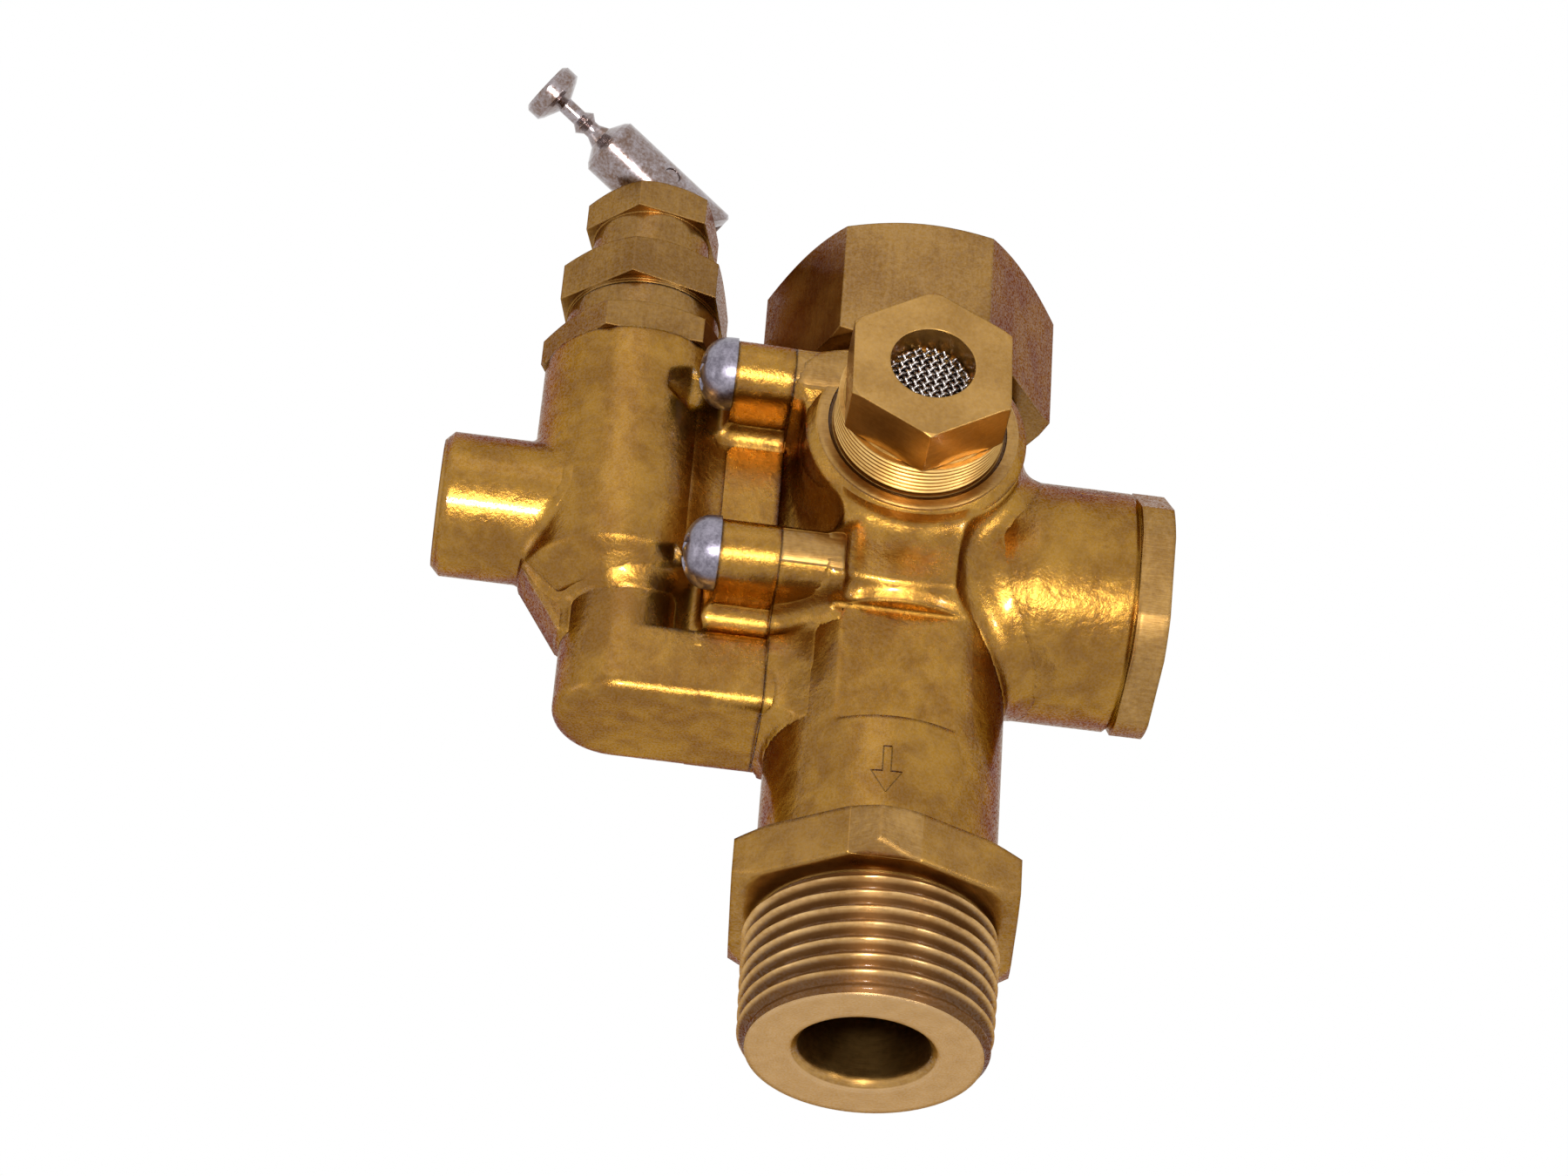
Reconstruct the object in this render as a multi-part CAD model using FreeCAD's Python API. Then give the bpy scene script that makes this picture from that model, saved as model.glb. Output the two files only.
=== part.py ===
import FreeCAD, Part
import math
import os

from FreeCAD import Vector

# Idler control valve: a brass check valve that stands on its outlet pipe thread,
# with an unloading vent in front and a sprung pilot valve bolted to its left side.
# Millimetres. The origin is the centre of the outlet's end face, +Z runs up the main
# bore, -Y points out of the vent plug, +X out of the inlet and -X towards the pilot.

UP = Vector(0, 0, 1)
FRONT = Vector(0, -1, 0)
RIGHT = Vector(1, 0, 0)
LEFT = Vector(-1, 0, 0)

# Steps of a spring's coil: stretches a turn, and sides of its wire
coil_steps = 14
coil_sides = 6

# How far a hexagon's turned-off corners fall along the bar for each step inwards
plain_bevel_slope = 0.5
steep_bevel_slope = 0.6

# How far a cutting tool or a hidden foot runs past the face that it has to reach
overrun = 1.0

# Distance within which an edge counts as lying on a face
touch = 0.001

# Named clearances
thread_gap = 0.03
slide_gap = 0.08
pin_gap = 0.03
part_gap = 0.35
press_gap = 0.01

# Outlet spigot, its hexagon and the barrel of the main body
outlet_core_radius = 12.2
outlet_thread_length = 14.35
outlet_bore_radius = 6.85
outlet_countersink = 0.8
outlet_hex_height = 5.65
outlet_hex_flats = 29.5
outlet_hex_turn = -94.9
outlet_hex_bevel = 1.6
barrel_radius = 12.6
barrel_rise = 12.7
chamber_radius = 9.5
chamber_floor = 26.0

# Sunk flat and raised pad on the front of the barrel
flat_depth = 1.75
flat_bottom = 33.0
flat_height = 14.5
flat_width = 15.0
pad_width = 11.6
pad_height = 10.0
pad_centre_x = -0.8
pad_drop = 14.1
pad_reach = 13.2

# Inlet boss on the right
inlet_height = 58.4
inlet_boss_radius = 13.1
inlet_root_radius = 7.8
inlet_neck_radius = 10.8
inlet_neck_end = 7.5
inlet_shoulder_radius = 12.5
inlet_shoulder_end = 11.5
inlet_boss_start = 14.0
inlet_boss_end = 24.4
inlet_groove = 0.7
inlet_blend = 1.0
inlet_hex_length = 3.5
inlet_hex_flats = 25.4
inlet_hex_round = 13.5
inlet_hex_turn = -45.0
inlet_thread_radius = 9.6
inlet_thread_length = 14.0
inlet_passage_radius = 6.0

# Vent boss and its screened plug at the front
vent_rise = 10.5
vent_boss_radius = 12.0
vent_boss_face = 15.0
vent_boss_ring = 1.2
vent_thread_radius = 8.7
vent_thread_depth = 4.8
vent_passage_radius = 3.4
plug_thread_length = 4.8
plug_hex_flats = 16.85
plug_hex_length = 6.4
plug_hex_turn = 91.45
plug_bevel = 0.5
plug_mouth_radius = 4.55
plug_mouth_depth = 3.0
plug_bore_radius = 3.8
screen_thickness = 0.6
screen_bars = 5
screen_bar_width = 0.45

# Cap, piston and the unloading valve on the main axis
cap_recess_radius = 10.5
cap_recess_depth = 4.6
cap_hex_flats = 28.3
cap_hex_height = 16.4
cap_hex_turn = -123.7
cap_crown_radius = 13.4
cap_crown_drop = 1.7
cap_foot_bevel = 0.9
cap_foot_drop = 0.5
gasket_thickness = 0.4
gasket_inset = 0.2
cap_bore_radius = 9.0
cap_roof = 5.3
piston_height = 5.0
piston_stop_gap = 3.0
seal_height = 1.8
seal_depth = 1.5
stem_radius = 2.0
stem_socket_depth = 1.5
bush_height = 3.5
vent_seat_drop = 5.9
vent_seat_height = 2.5
vent_seat_bore = 5.0
poppet_radius = 6.6
poppet_height = 3.0
poppet_floor = 1.0
poppet_bevel = 1.4
unloader_wire = 0.9
unloader_spring_radius = 4.2
unloader_turns = 3

# Check valve below the inlet
check_seat_drop = 10.9
check_seat_height = 3.0
check_seat_bore = 5.6
check_disc_radius = 7.6
check_disc_height = 3.0
check_guide_radius = 2.2
check_guide_length = 6.5
check_guide_bevel = 0.4
check_wire = 1.0
check_spring_radius = 5.0
check_turns = 5
retainer_height = 1.5
retainer_centre_radius = 2.9
retainer_hole_radius = 1.5
retainer_holes = 6

# Joint face between the two bodies and what crosses it
seam_x = -13.6
plate_half_width = 6.2
main_web_half_width = 4.6
plate_drop = 2.0
screw_offset = 11.8
upper_screw_drop = 6.3
lower_screw_rise = 6.9
screw_boss_radius = 3.7
screw_seat_x = -20.0
screw_shank_radius = 2.0
screw_end_x = -9.0
screw_head_radius = 4.0
screw_rim = 0.8
screw_dome = 3.0
screw_dome_steps = 3
spotface_radius = 4.35
spotface_length = 4.4
spotface_runout = 7.0
spotface_tip_radius = 2.4
main_boss_end_x = -7.0
main_web_sink = 0.5
block_half_width = 7.1
block_bottom = 36.0
block_height = 8.4
block_edge = 0.8
supply_rise = 5.0
signal_drop = 15.6
passage_radius = 1.5
port_seal_inner = 2.4
port_seal_outer = 4.0
port_seal_height = 1.4

# Pilot body
pilot_x = -30.1
pilot_radius = 10.3
pilot_shoulder_rise = 8.8
pilot_chamber_radius = 6.8
pilot_floor_rise = 3.8
foot_radius = 7.0
foot_centre_x = -28.4
foot_edge = 1.6
foot_web_half_width = 4.4
flange_back_x = -20.6
gusset_thickness = 5.0
gusset_reach = 40.2
gusset_tip_height = 2.2
gusset_toe_gap = 0.3
gusset_foot_rise = 1.2
port_rise = 8.7
port_boss_radius = 7.9
port_boss_end = -50.2
port_edge = 1.0
port_blend = 2.0
port_thread_radius = 4.25
port_thread_length = 10.0
port_passage_radius = 2.4

# Bonnet, lock nut and adjusting screw on top of the pilot
bonnet_hex_flats = 18.95
bonnet_hex_height = 4.2
bonnet_hex_turn = -113.7
bonnet_bevel = 1.6
bonnet_collar_radius = 8.6
bonnet_collar_height = 7.5
bonnet_spigot_length = 7.0
screw_bore_radius = 5.2
nut_gap = 0.15
nut_collar_height = 0.45
nut_hex_flats = 17.5
nut_hex_height = 5.7
nut_hex_turn = -102.1
nut_bevel = 1.5
adjuster_neck_radius = 6.6
adjuster_neck_height = 5.7
adjuster_hex_flats = 13.7
adjuster_hex_height = 4.1
adjuster_hex_turn = -105.5
adjuster_bevel = 1.0
adjuster_shank_length = 9.3

# Pilot valve, its spring and its stem
seat_height = 3.0
seat_hole_radius = 1.5
seat_nose_height = 0.8
seat_nose_radius = 2.4
seat_nose_foot = 3.2
pilot_poppet_radius = 3.0
pilot_poppet_height = 1.5
spring_seat_radius = 4.7
spring_seat_height = 1.8
range_wire = 1.1
range_spring_radius = 3.7
range_turns = 6
pilot_stem_radius = 1.6
stem_seal_outer = 2.9
stem_seal_height = 1.8
stem_seal_depth = 3.0

# Toggle lever: a turned rod with a slot that straddles the stem
lever_heading = 204.0
lever_rise = 27.4
lever_radius = 3.6
lever_barrel_length = 16.2
lever_tail = 8.1
lever_tail_bevel = 0.3
lever_shoulder_bevel = 0.5
lever_cone_radius = 1.5
lever_cone_length = 0.9
lever_neck_radius = 0.95
lever_neck_start = 2.0
lever_bead_radius = 1.55
lever_bead_reach = 3.4
lever_bead_half = 0.8
lever_knob_radius = 3.35
lever_knob_length = 2.3
lever_knob_reach = 17.6
lever_knob_flare = 0.6
lever_knob_bevel = 0.4
lever_slot_gap = 0.3
eye_reach = 3.0
pin_radius = 1.0
pin_lift = 4.5
pin_end_gap = 0.25
cam_lift_rate = 3.66
cam_gap = 0.06
cam_steps = 8

# Places worked out from the sizes above
vent_height = inlet_height + vent_rise
barrel_top = vent_height + barrel_rise
check_seat_bottom = inlet_height - check_seat_drop
vent_seat_bottom = vent_height - vent_seat_drop
plate_top = barrel_top - plate_drop
upper_screw_height = barrel_top - upper_screw_drop
signal_height = barrel_top - signal_drop
pad_centre_z = vent_height - pad_drop
block_top = block_bottom + block_height
supply_height = block_bottom + supply_rise
lower_screw_height = block_top + lower_screw_rise
pilot_shoulder = block_top + pilot_shoulder_rise
pilot_chamber_floor = pilot_shoulder + pilot_floor_rise
gusset_foot = block_top + gusset_foot_rise
port_height = pilot_shoulder + port_rise
bonnet_collar_top = barrel_top + bonnet_collar_height
outlet_hex_top = outlet_thread_length + outlet_hex_height
inlet_end = inlet_boss_end + inlet_groove + inlet_hex_length
plug_hex_start = vent_boss_face + plug_thread_length
plug_face = plug_hex_start + plug_hex_length
cap_base = barrel_top + gasket_thickness
cap_top = cap_base + cap_hex_height
piston_top = cap_top - cap_roof - piston_stop_gap
piston_bottom = piston_top - piston_height
bush_top = barrel_top - cap_recess_depth
bush_bottom = bush_top - bush_height
poppet_bottom = vent_seat_bottom - poppet_height
stem_top = piston_top - stem_socket_depth
stem_bottom = poppet_bottom + poppet_floor
check_disc_bottom = check_seat_bottom - check_disc_height
check_guide_end = check_disc_bottom - check_guide_length
retainer_top = chamber_floor + retainer_height
pilot_seat_top = pilot_chamber_floor + seat_height
pilot_poppet_top = pilot_seat_top + pilot_poppet_height
spring_seat_top = pilot_poppet_top + spring_seat_height
bonnet_hex_top = barrel_top + bonnet_hex_height
nut_bottom = bonnet_collar_top + nut_gap
nut_hex_bottom = nut_bottom + nut_collar_height
nut_top = nut_hex_bottom + nut_hex_height
adjuster_neck_top = nut_top + adjuster_neck_height
adjuster_top = adjuster_neck_top + adjuster_hex_height
adjuster_bottom = nut_top - adjuster_shank_length
upper_seat_bottom = adjuster_bottom - spring_seat_height
pin_height = adjuster_top + pin_lift


def placed(shape, origin, axis, turn=0.0):
    """Turn a shape that was built along +Z about its own axis, then stand it on an axis."""
    spin = FreeCAD.Rotation(UP, turn)
    shape.Placement = FreeCAD.Placement(origin, FreeCAD.Rotation(UP, axis) * spin)
    return shape


def rod(radius, start, end, origin=Vector(0, 0, 0), axis=UP):
    """Cylinder from one distance to another along an axis through origin."""
    base = Part.makeCylinder(radius, end - start, Vector(0, 0, start))
    return placed(base, origin, axis)


def turned(points, origin=Vector(0, 0, 0), axis=UP):
    """Solid of revolution from (radius, height) corners that start and end on the axis."""
    corners = [Vector(radius, 0, height) for radius, height in points]
    face = Part.Face(Part.makePolygon(corners + corners[:1]))
    return placed(face.revolve(Vector(0, 0, 0), UP, 360), origin, axis)


def block(x_range, y_range, z_range):
    """Box between three pairs of limits."""
    low = Vector(x_range[0], y_range[0], z_range[0])
    high = Vector(x_range[1], y_range[1], z_range[1])
    size = high - low
    return Part.makeBox(size.x, size.y, size.z, low)


def hexagon(flats, start, end, turn, bevel_low=0.0, bevel_high=0.0,
            slope=plain_bevel_slope):
    """Hexagonal bar along +Z whose corners are turned off at one or both ends."""
    corner = flats / math.sqrt(3.0)
    points = []
    for side in range(6):
        angle = math.radians(turn + 60 * side)
        points.append(Vector(corner * math.cos(angle), corner * math.sin(angle), start))
    bar = Part.Face(Part.makePolygon(points + points[:1])).extrude(Vector(0, 0, end - start))
    rim_low = corner - bevel_low
    rim_high = corner - bevel_high
    profile = [(0, start), (rim_low, start), (corner, start + bevel_low * slope)]
    profile += [(corner, end - bevel_high * slope), (rim_high, end), (0, end)]
    if bevel_low == 0.0:
        profile.pop(1)
        profile[1] = (corner, start)
    if bevel_high == 0.0:
        profile.pop(-2)
        profile[-2] = (corner, end)
    return bar.common(turned(profile))


def ring(inner, outer, start, end, origin=Vector(0, 0, 0), axis=UP):
    """Plain washer shape."""
    return rod(outer, start, end, origin, axis).cut(rod(inner, start, end, origin, axis))


def blended(one, two, radius):
    """Join two solids and round the inner corner where their outsides meet."""
    joined = one.fuse(two).removeSplitter()
    corner = []
    for edge in joined.Edges:
        middle = edge.valueAt((edge.FirstParameter + edge.LastParameter) / 2)
        point = Part.Vertex(middle)
        reach = [solid.Shells[0].distToShape(point)[0] for solid in (one, two)]
        if max(reach) < touch:
            corner.append(edge)
    return joined.makeFillet(radius, corner)


def soft_bar(x_range, half_width, z_range, low_edge, high_edge):
    """Bar along X whose lower and upper long edges are rounded."""
    bar = block(x_range, (-half_width, half_width), z_range)
    for height, radius in ((z_range[0], low_edge), (z_range[1], high_edge)):
        long_edges = []
        for edge in bar.Edges:
            box = edge.BoundBox
            level = abs(box.ZMin - height) + abs(box.ZMax - height) < touch
            if level and abs(box.YMax) - half_width > -touch and box.YLength < touch:
                long_edges.append(edge)
        bar = bar.makeFillet(radius, long_edges)
    return bar


def spring(mean_radius, wire, bottom, top, turns, origin=Vector(0, 0, 0)):
    """Compression spring between two flat seats: six-sided wire lofted along a helix."""
    rise = top - bottom - wire
    slope = math.atan2(rise, 2 * math.pi * mean_radius * turns)
    sections = []
    for step in range(turns * coil_steps + 1):
        angle = 2 * math.pi * step / coil_steps
        outward = Vector(math.cos(angle), math.sin(angle), 0)
        around = Vector(-math.sin(angle), math.cos(angle), 0)
        upward = UP * math.cos(slope) - around * math.sin(slope)
        centre = outward * mean_radius + UP * (rise * step / (turns * coil_steps))
        corners = []
        for side in range(coil_sides):
            spoke = 2 * math.pi * side / coil_sides
            corners.append(centre + (outward * math.cos(spoke) + upward * math.sin(spoke))
                           * (wire / 2))
        sections.append(Part.makePolygon(corners + corners[:1]))
    coil = Part.makeLoft(sections, True, True)
    return placed(coil, origin + Vector(0, 0, bottom + wire / 2), UP)


def screw_places():
    """Centre lines of the four screws, as (y, z)."""
    heights = [upper_screw_height, lower_screw_height]
    return [(side * screw_offset, height) for side in (-1, 1) for height in heights]


def half_flange(near_x, far_x, half_width, lug_end_x):
    """One half of the bolted joint: a web, the block under it and four screw lugs."""
    low_x, high_x = sorted((near_x, far_x))
    web = block((low_x, high_x), (-half_width, half_width), (lower_screw_height, plate_top))
    low_web = block((low_x, high_x), (-plate_half_width, plate_half_width),
                    (block_top - overrun, lower_screw_height))
    foot = soft_bar((low_x, high_x), block_half_width, (block_bottom, block_top),
                    foot_edge, block_edge)
    pieces = [low_web, foot]
    lug_low, lug_high = sorted((near_x, lug_end_x))
    for y, z in screw_places():
        pieces.append(rod(screw_boss_radius, lug_low, lug_high, Vector(0, y, z), RIGHT))
        pieces.append(block((lug_low, lug_high), sorted((0, y)),
                            (z - screw_boss_radius, z + screw_boss_radius)))
    return web.multiFuse(pieces)


def inlet_outside():
    """Inlet boss with its V groove and the hexagon cut on its end."""
    centre = Vector(0, 0, inlet_height)
    boss = turned([(0, 0), (inlet_root_radius, 0), (inlet_neck_radius, inlet_neck_end),
                   (inlet_shoulder_radius, inlet_shoulder_end),
                   (inlet_boss_radius, inlet_boss_start), (inlet_boss_radius, inlet_boss_end),
                   (inlet_boss_radius - inlet_groove, inlet_boss_end + inlet_groove),
                   (0, inlet_boss_end + inlet_groove)], centre, RIGHT)
    start = inlet_boss_end + inlet_groove
    nut = hexagon(inlet_hex_flats, start, inlet_end, 0.0)
    nut = nut.common(rod(inlet_hex_round, start, inlet_end))
    return boss, placed(nut, centre, RIGHT, inlet_hex_turn)


def vent_outside():
    """Vent boss with the raised ring that the plug screws down towards."""
    centre = Vector(0, 0, vent_height)
    edge = vent_boss_face - vent_boss_ring
    return turned([(0, 0), (vent_boss_radius, 0), (vent_boss_radius, edge),
                   (vent_boss_radius - vent_boss_ring, vent_boss_face),
                   (0, vent_boss_face)], centre, FRONT)


def main_body():
    """Forged main body, bored right through and tapped for inlet, vent and cap."""
    barrel = rod(barrel_radius, outlet_thread_length, barrel_top)
    spigot = rod(outlet_core_radius, 0, outlet_thread_length)
    collar = hexagon(outlet_hex_flats, outlet_thread_length, outlet_hex_top,
                     outlet_hex_turn, outlet_hex_bevel, outlet_hex_bevel)
    pad = block((pad_centre_x - pad_width / 2, pad_centre_x + pad_width / 2),
                (-pad_reach, 0),
                (pad_centre_z - pad_height / 2, pad_centre_z + pad_height / 2))
    flange = half_flange(seam_x, -chamber_radius - main_web_sink, main_web_half_width,
                         main_boss_end_x)
    boss, nut = inlet_outside()
    body = blended(barrel, boss, inlet_blend)
    body = body.multiFuse([nut, spigot, collar, pad, flange, vent_outside()])

    sunk = block((-flat_width / 2, flat_width / 2),
                 (-barrel_radius - overrun, -barrel_radius + flat_depth),
                 (flat_bottom, flat_bottom + flat_height))
    rim = outlet_bore_radius + outlet_countersink
    cuts = [
        sunk,
        rod(outlet_bore_radius, 0, chamber_floor),
        turned([(0, 0), (rim, 0), (outlet_bore_radius, outlet_countersink),
                (0, outlet_countersink)]),
        rod(chamber_radius, chamber_floor, barrel_top),
        rod(cap_recess_radius, bush_top, barrel_top),
        rod(inlet_thread_radius, inlet_end - inlet_thread_length, inlet_end,
            Vector(0, 0, inlet_height), RIGHT),
        rod(inlet_passage_radius, 0, inlet_end, Vector(0, 0, inlet_height), RIGHT),
        rod(vent_thread_radius, vent_boss_face - vent_thread_depth, vent_boss_face,
            Vector(0, 0, vent_height), FRONT),
        rod(vent_passage_radius, 0, vent_boss_face, Vector(0, 0, vent_height), FRONT),
        rod(passage_radius, chamber_radius - overrun, -seam_x, Vector(0, 0, supply_height),
            LEFT),
    ]
    for y, z in screw_places():
        cuts.append(rod(screw_shank_radius, 0, screw_end_x - seam_x + overrun,
                        Vector(seam_x, y, z), RIGHT))
    # The signal drilling runs in from the seam and then up the wall to the cap
    riser_x = -(cap_recess_radius + barrel_radius) / 2
    cuts.append(rod(passage_radius / 2, -riser_x, -seam_x, Vector(0, 0, signal_height), LEFT))
    cuts.append(rod(passage_radius / 2, signal_height, barrel_top, Vector(riser_x, 0, 0)))
    for cut in cuts:
        body = body.cut(cut)
    return body.removeSplitter()


def vent_plug():
    """Hexagonal plug whose bore is stepped for the wire screen."""
    inner_end = vent_boss_face - vent_thread_depth + part_gap
    centre = Vector(0, 0, vent_height)
    thread = rod(vent_thread_radius - thread_gap, inner_end, plug_hex_start, centre, FRONT)
    head = hexagon(plug_hex_flats, plug_hex_start, plug_face, plug_hex_turn, plug_bevel,
                   plug_bevel)
    plug = thread.fuse(placed(head, centre, FRONT))
    plug = plug.cut(rod(plug_bore_radius, 0, plug_face, centre, FRONT))
    recess = plug_face - plug_mouth_depth - screen_thickness
    return plug.cut(rod(plug_mouth_radius, recess, plug_face, centre, FRONT))


def vent_screen():
    """Round wire screen that lies on the plug's step: a rim and crossed bars."""
    centre = Vector(0, 0, vent_height)
    back = plug_face - plug_mouth_depth - screen_thickness
    front = plug_face - plug_mouth_depth
    edge = plug_mouth_radius - thread_gap
    disc = rod(edge, back, front, centre, FRONT)
    rim = ring(plug_bore_radius, edge, back, front, centre, FRONT)
    pitch = 2.0 * plug_bore_radius / (screen_bars + 1)
    bars = []
    for index in range(screen_bars):
        place = -plug_bore_radius + pitch * (index + 1)
        low = place - screen_bar_width / 2
        high = place + screen_bar_width / 2
        bars.append(block((low, high), (-front, -back),
                          (vent_height - edge, vent_height + edge)))
        bars.append(block((-edge, edge), (-front, -back),
                          (vent_height + low, vent_height + high)))
    grid = bars[0].multiFuse(bars[1:])
    return rim.fuse(grid.common(disc)).removeSplitter()


def top_cap():
    """Hexagonal cap that closes the main bore and holds the unloading piston."""
    corner = cap_hex_flats / math.sqrt(3.0)
    bar = hexagon(cap_hex_flats, cap_base, cap_top, cap_hex_turn)
    crown = turned([(0, cap_base), (corner - cap_foot_bevel, cap_base),
                    (corner, cap_base + cap_foot_drop),
                    (corner, cap_top - cap_crown_drop),
                    (cap_crown_radius, cap_top), (0, cap_top)])
    skirt = rod(cap_recess_radius - thread_gap, bush_top, cap_base)
    bore = rod(cap_bore_radius, bush_top, cap_top - cap_roof)
    return bar.common(crown).fuse(skirt).cut(bore)


def cap_gasket():
    """Flat ring between the body's rim and the underside of the cap."""
    return ring(cap_recess_radius + thread_gap, barrel_radius - gasket_inset, barrel_top,
                cap_base)


def guide_bush():
    """Brass bush under the cap that guides the unloading stem."""
    hole = stem_radius + pin_gap
    return ring(hole, chamber_radius - thread_gap, bush_bottom, bush_top)


def vent_seat():
    """Ring that the unloading poppet closes against from below."""
    return ring(vent_seat_bore, chamber_radius - thread_gap, vent_seat_bottom,
                vent_seat_bottom + vent_seat_height)


def unloader_piston():
    """Cup piston in the cap, with a groove for its seal."""
    outer = cap_bore_radius - slide_gap
    groove = piston_bottom + (piston_height - seal_height) / 2
    piston = rod(outer, piston_bottom, piston_top)
    piston = piston.cut(ring(outer - seal_depth, outer + overrun, groove,
                             groove + seal_height))
    return piston.cut(rod(stem_radius, piston_bottom, stem_top))


def piston_seal():
    """Seal ring in the piston's groove."""
    outer = cap_bore_radius - slide_gap
    groove = piston_bottom + (piston_height - seal_height) / 2
    return ring(outer - seal_depth, outer, groove, groove + seal_height)


def unloader_stem():
    """Rod from the piston down to the poppet."""
    return rod(stem_radius, stem_bottom, stem_top)


def unloader_poppet():
    """Soft-faced disc that opens downwards from the vent seat."""
    disc = turned([(0, poppet_bottom), (poppet_radius - poppet_bevel, poppet_bottom),
                   (poppet_radius, stem_bottom), (poppet_radius, vent_seat_bottom),
                   (0, vent_seat_bottom)])
    return disc.cut(rod(stem_radius, stem_bottom, vent_seat_bottom))


def check_seat():
    """Ring with a raised lip that the check disc closes against from below."""
    return ring(check_seat_bore, chamber_radius - thread_gap, check_seat_bottom,
                check_seat_bottom + check_seat_height)


def check_disc():
    """Check disc with its guide stem."""
    return turned([(0, check_guide_end),
                   (check_guide_radius - check_guide_bevel, check_guide_end),
                   (check_guide_radius, check_guide_end + check_guide_bevel),
                   (check_guide_radius, check_disc_bottom),
                   (check_disc_radius, check_disc_bottom),
                   (check_disc_radius, check_seat_bottom), (0, check_seat_bottom)])


def check_retainer():
    """Drilled washer on the chamber's floor that carries the check spring."""
    washer = rod(chamber_radius - thread_gap, chamber_floor, retainer_top)
    washer = washer.cut(rod(retainer_centre_radius, chamber_floor, retainer_top))
    circle = (outlet_bore_radius + retainer_centre_radius) / 2
    for index in range(retainer_holes):
        angle = math.radians(360.0 / retainer_holes * index)
        place = Vector(circle * math.cos(angle), circle * math.sin(angle), 0)
        washer = washer.cut(rod(retainer_hole_radius, chamber_floor, retainer_top, place))
    return washer


def foot_outside():
    """Round foot of the pilot body with its lower edge broken, and its webs to the flange."""
    end = rod(foot_radius, block_bottom, pilot_shoulder, Vector(foot_centre_x, 0, 0))
    low = block((foot_centre_x, seam_x), (-foot_radius, foot_radius), (block_bottom, block_top))
    high = block((foot_centre_x, seam_x), (-foot_web_half_width, foot_web_half_width),
                 (block_top - overrun, pilot_shoulder))
    foot = end.fuse(low).removeSplitter()
    floor = [edge for edge in foot.Edges
             if edge.BoundBox.ZMax < block_bottom + part_gap
             and edge.BoundBox.XMin < seam_x - part_gap]
    return foot.makeFillet(foot_edge, floor).fuse(high)


def gusset():
    """Flat web between the port boss and the foot."""
    top = port_height - port_boss_radius + overrun
    toe = foot_centre_x - foot_radius - gusset_toe_gap
    points = [Vector(-gusset_reach, 0, top), Vector(-gusset_reach, 0, top - gusset_tip_height),
              Vector(toe, 0, gusset_foot), Vector(foot_centre_x, 0, gusset_foot),
              Vector(foot_centre_x, 0, top)]
    face = Part.Face(Part.makePolygon(points + points[:1]))
    face.translate(Vector(0, -gusset_thickness / 2, 0))
    return face.extrude(Vector(0, gusset_thickness, 0))


def pilot_body():
    """Forged pilot body: upright cylinder, side port, foot and half of the flange."""
    axis_point = Vector(pilot_x, 0, 0)
    taper = pilot_radius - foot_radius
    column = turned([(0, pilot_shoulder - taper), (foot_radius, pilot_shoulder - taper),
                     (pilot_radius, pilot_shoulder), (pilot_radius, barrel_top),
                     (0, barrel_top)], axis_point)
    port = turned([(0, 0), (port_boss_radius, 0),
                   (port_boss_radius, pilot_x - port_boss_end - port_edge),
                   (port_boss_radius - port_edge, pilot_x - port_boss_end),
                   (0, pilot_x - port_boss_end)], Vector(pilot_x, 0, port_height), LEFT)
    plate = block((pilot_x, seam_x), (-plate_half_width, plate_half_width),
                  (pilot_shoulder, plate_top))
    flange = half_flange(seam_x, flange_back_x, plate_half_width, screw_seat_x)
    body = blended(column, port, port_blend)
    body = body.multiFuse([foot_outside(), gusset(), plate, flange])

    cuts = [
        rod(pilot_chamber_radius, pilot_chamber_floor, barrel_top, axis_point),
        rod(passage_radius, supply_height, pilot_chamber_floor, axis_point),
        rod(passage_radius, pilot_x, seam_x, Vector(0, 0, supply_height), RIGHT),
        rod(passage_radius / 2, pilot_x, seam_x, Vector(0, 0, signal_height), RIGHT),
        rod(port_thread_radius, -port_boss_end - port_thread_length, -port_boss_end,
            Vector(0, 0, port_height), LEFT),
        rod(port_passage_radius, -pilot_x, -port_boss_end, Vector(0, 0, port_height), LEFT),
    ]
    for height in (supply_height, signal_height):
        cuts.append(rod(port_seal_outer, 0, port_seal_height, Vector(seam_x, 0, height), LEFT))
    for y, z in screw_places():
        cuts.append(turned([(0, 0), (spotface_radius, 0), (spotface_radius, spotface_length),
                            (spotface_tip_radius, spotface_runout), (0, spotface_runout)],
                           Vector(screw_seat_x, y, z), LEFT))
        cuts.append(rod(screw_shank_radius + part_gap, 0, -screw_seat_x + seam_x,
                        Vector(screw_seat_x, y, z), RIGHT))
    for cut in cuts:
        body = body.cut(cut)
    return body.removeSplitter()


def port_seals():
    """Two seal rings around the drillings that cross the seam."""
    rings = []
    for height in (supply_height, signal_height):
        rings.append(ring(port_seal_inner, port_seal_outer, 0, port_seal_height,
                          Vector(seam_x, 0, height), LEFT))
    return Part.makeCompound(rings)


def pilot_screws():
    """Four screws with low domed heads."""
    profile = [(0, 0), (screw_head_radius, 0)]
    for step in range(screw_dome_steps):
        angle = math.pi / 2 * step / screw_dome_steps
        profile.append((screw_head_radius * math.cos(angle),
                        screw_rim + screw_dome * math.sin(angle)))
    profile.append((0, screw_rim + screw_dome))
    screws = []
    for y, z in screw_places():
        seat = Vector(screw_seat_x, y, z)
        head = turned(profile, seat, LEFT)
        shank = rod(screw_shank_radius - thread_gap, 0, screw_end_x - screw_seat_x,
                    seat, RIGHT)
        screws.append(head.fuse(shank))
    return Part.makeCompound(screws)


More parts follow.
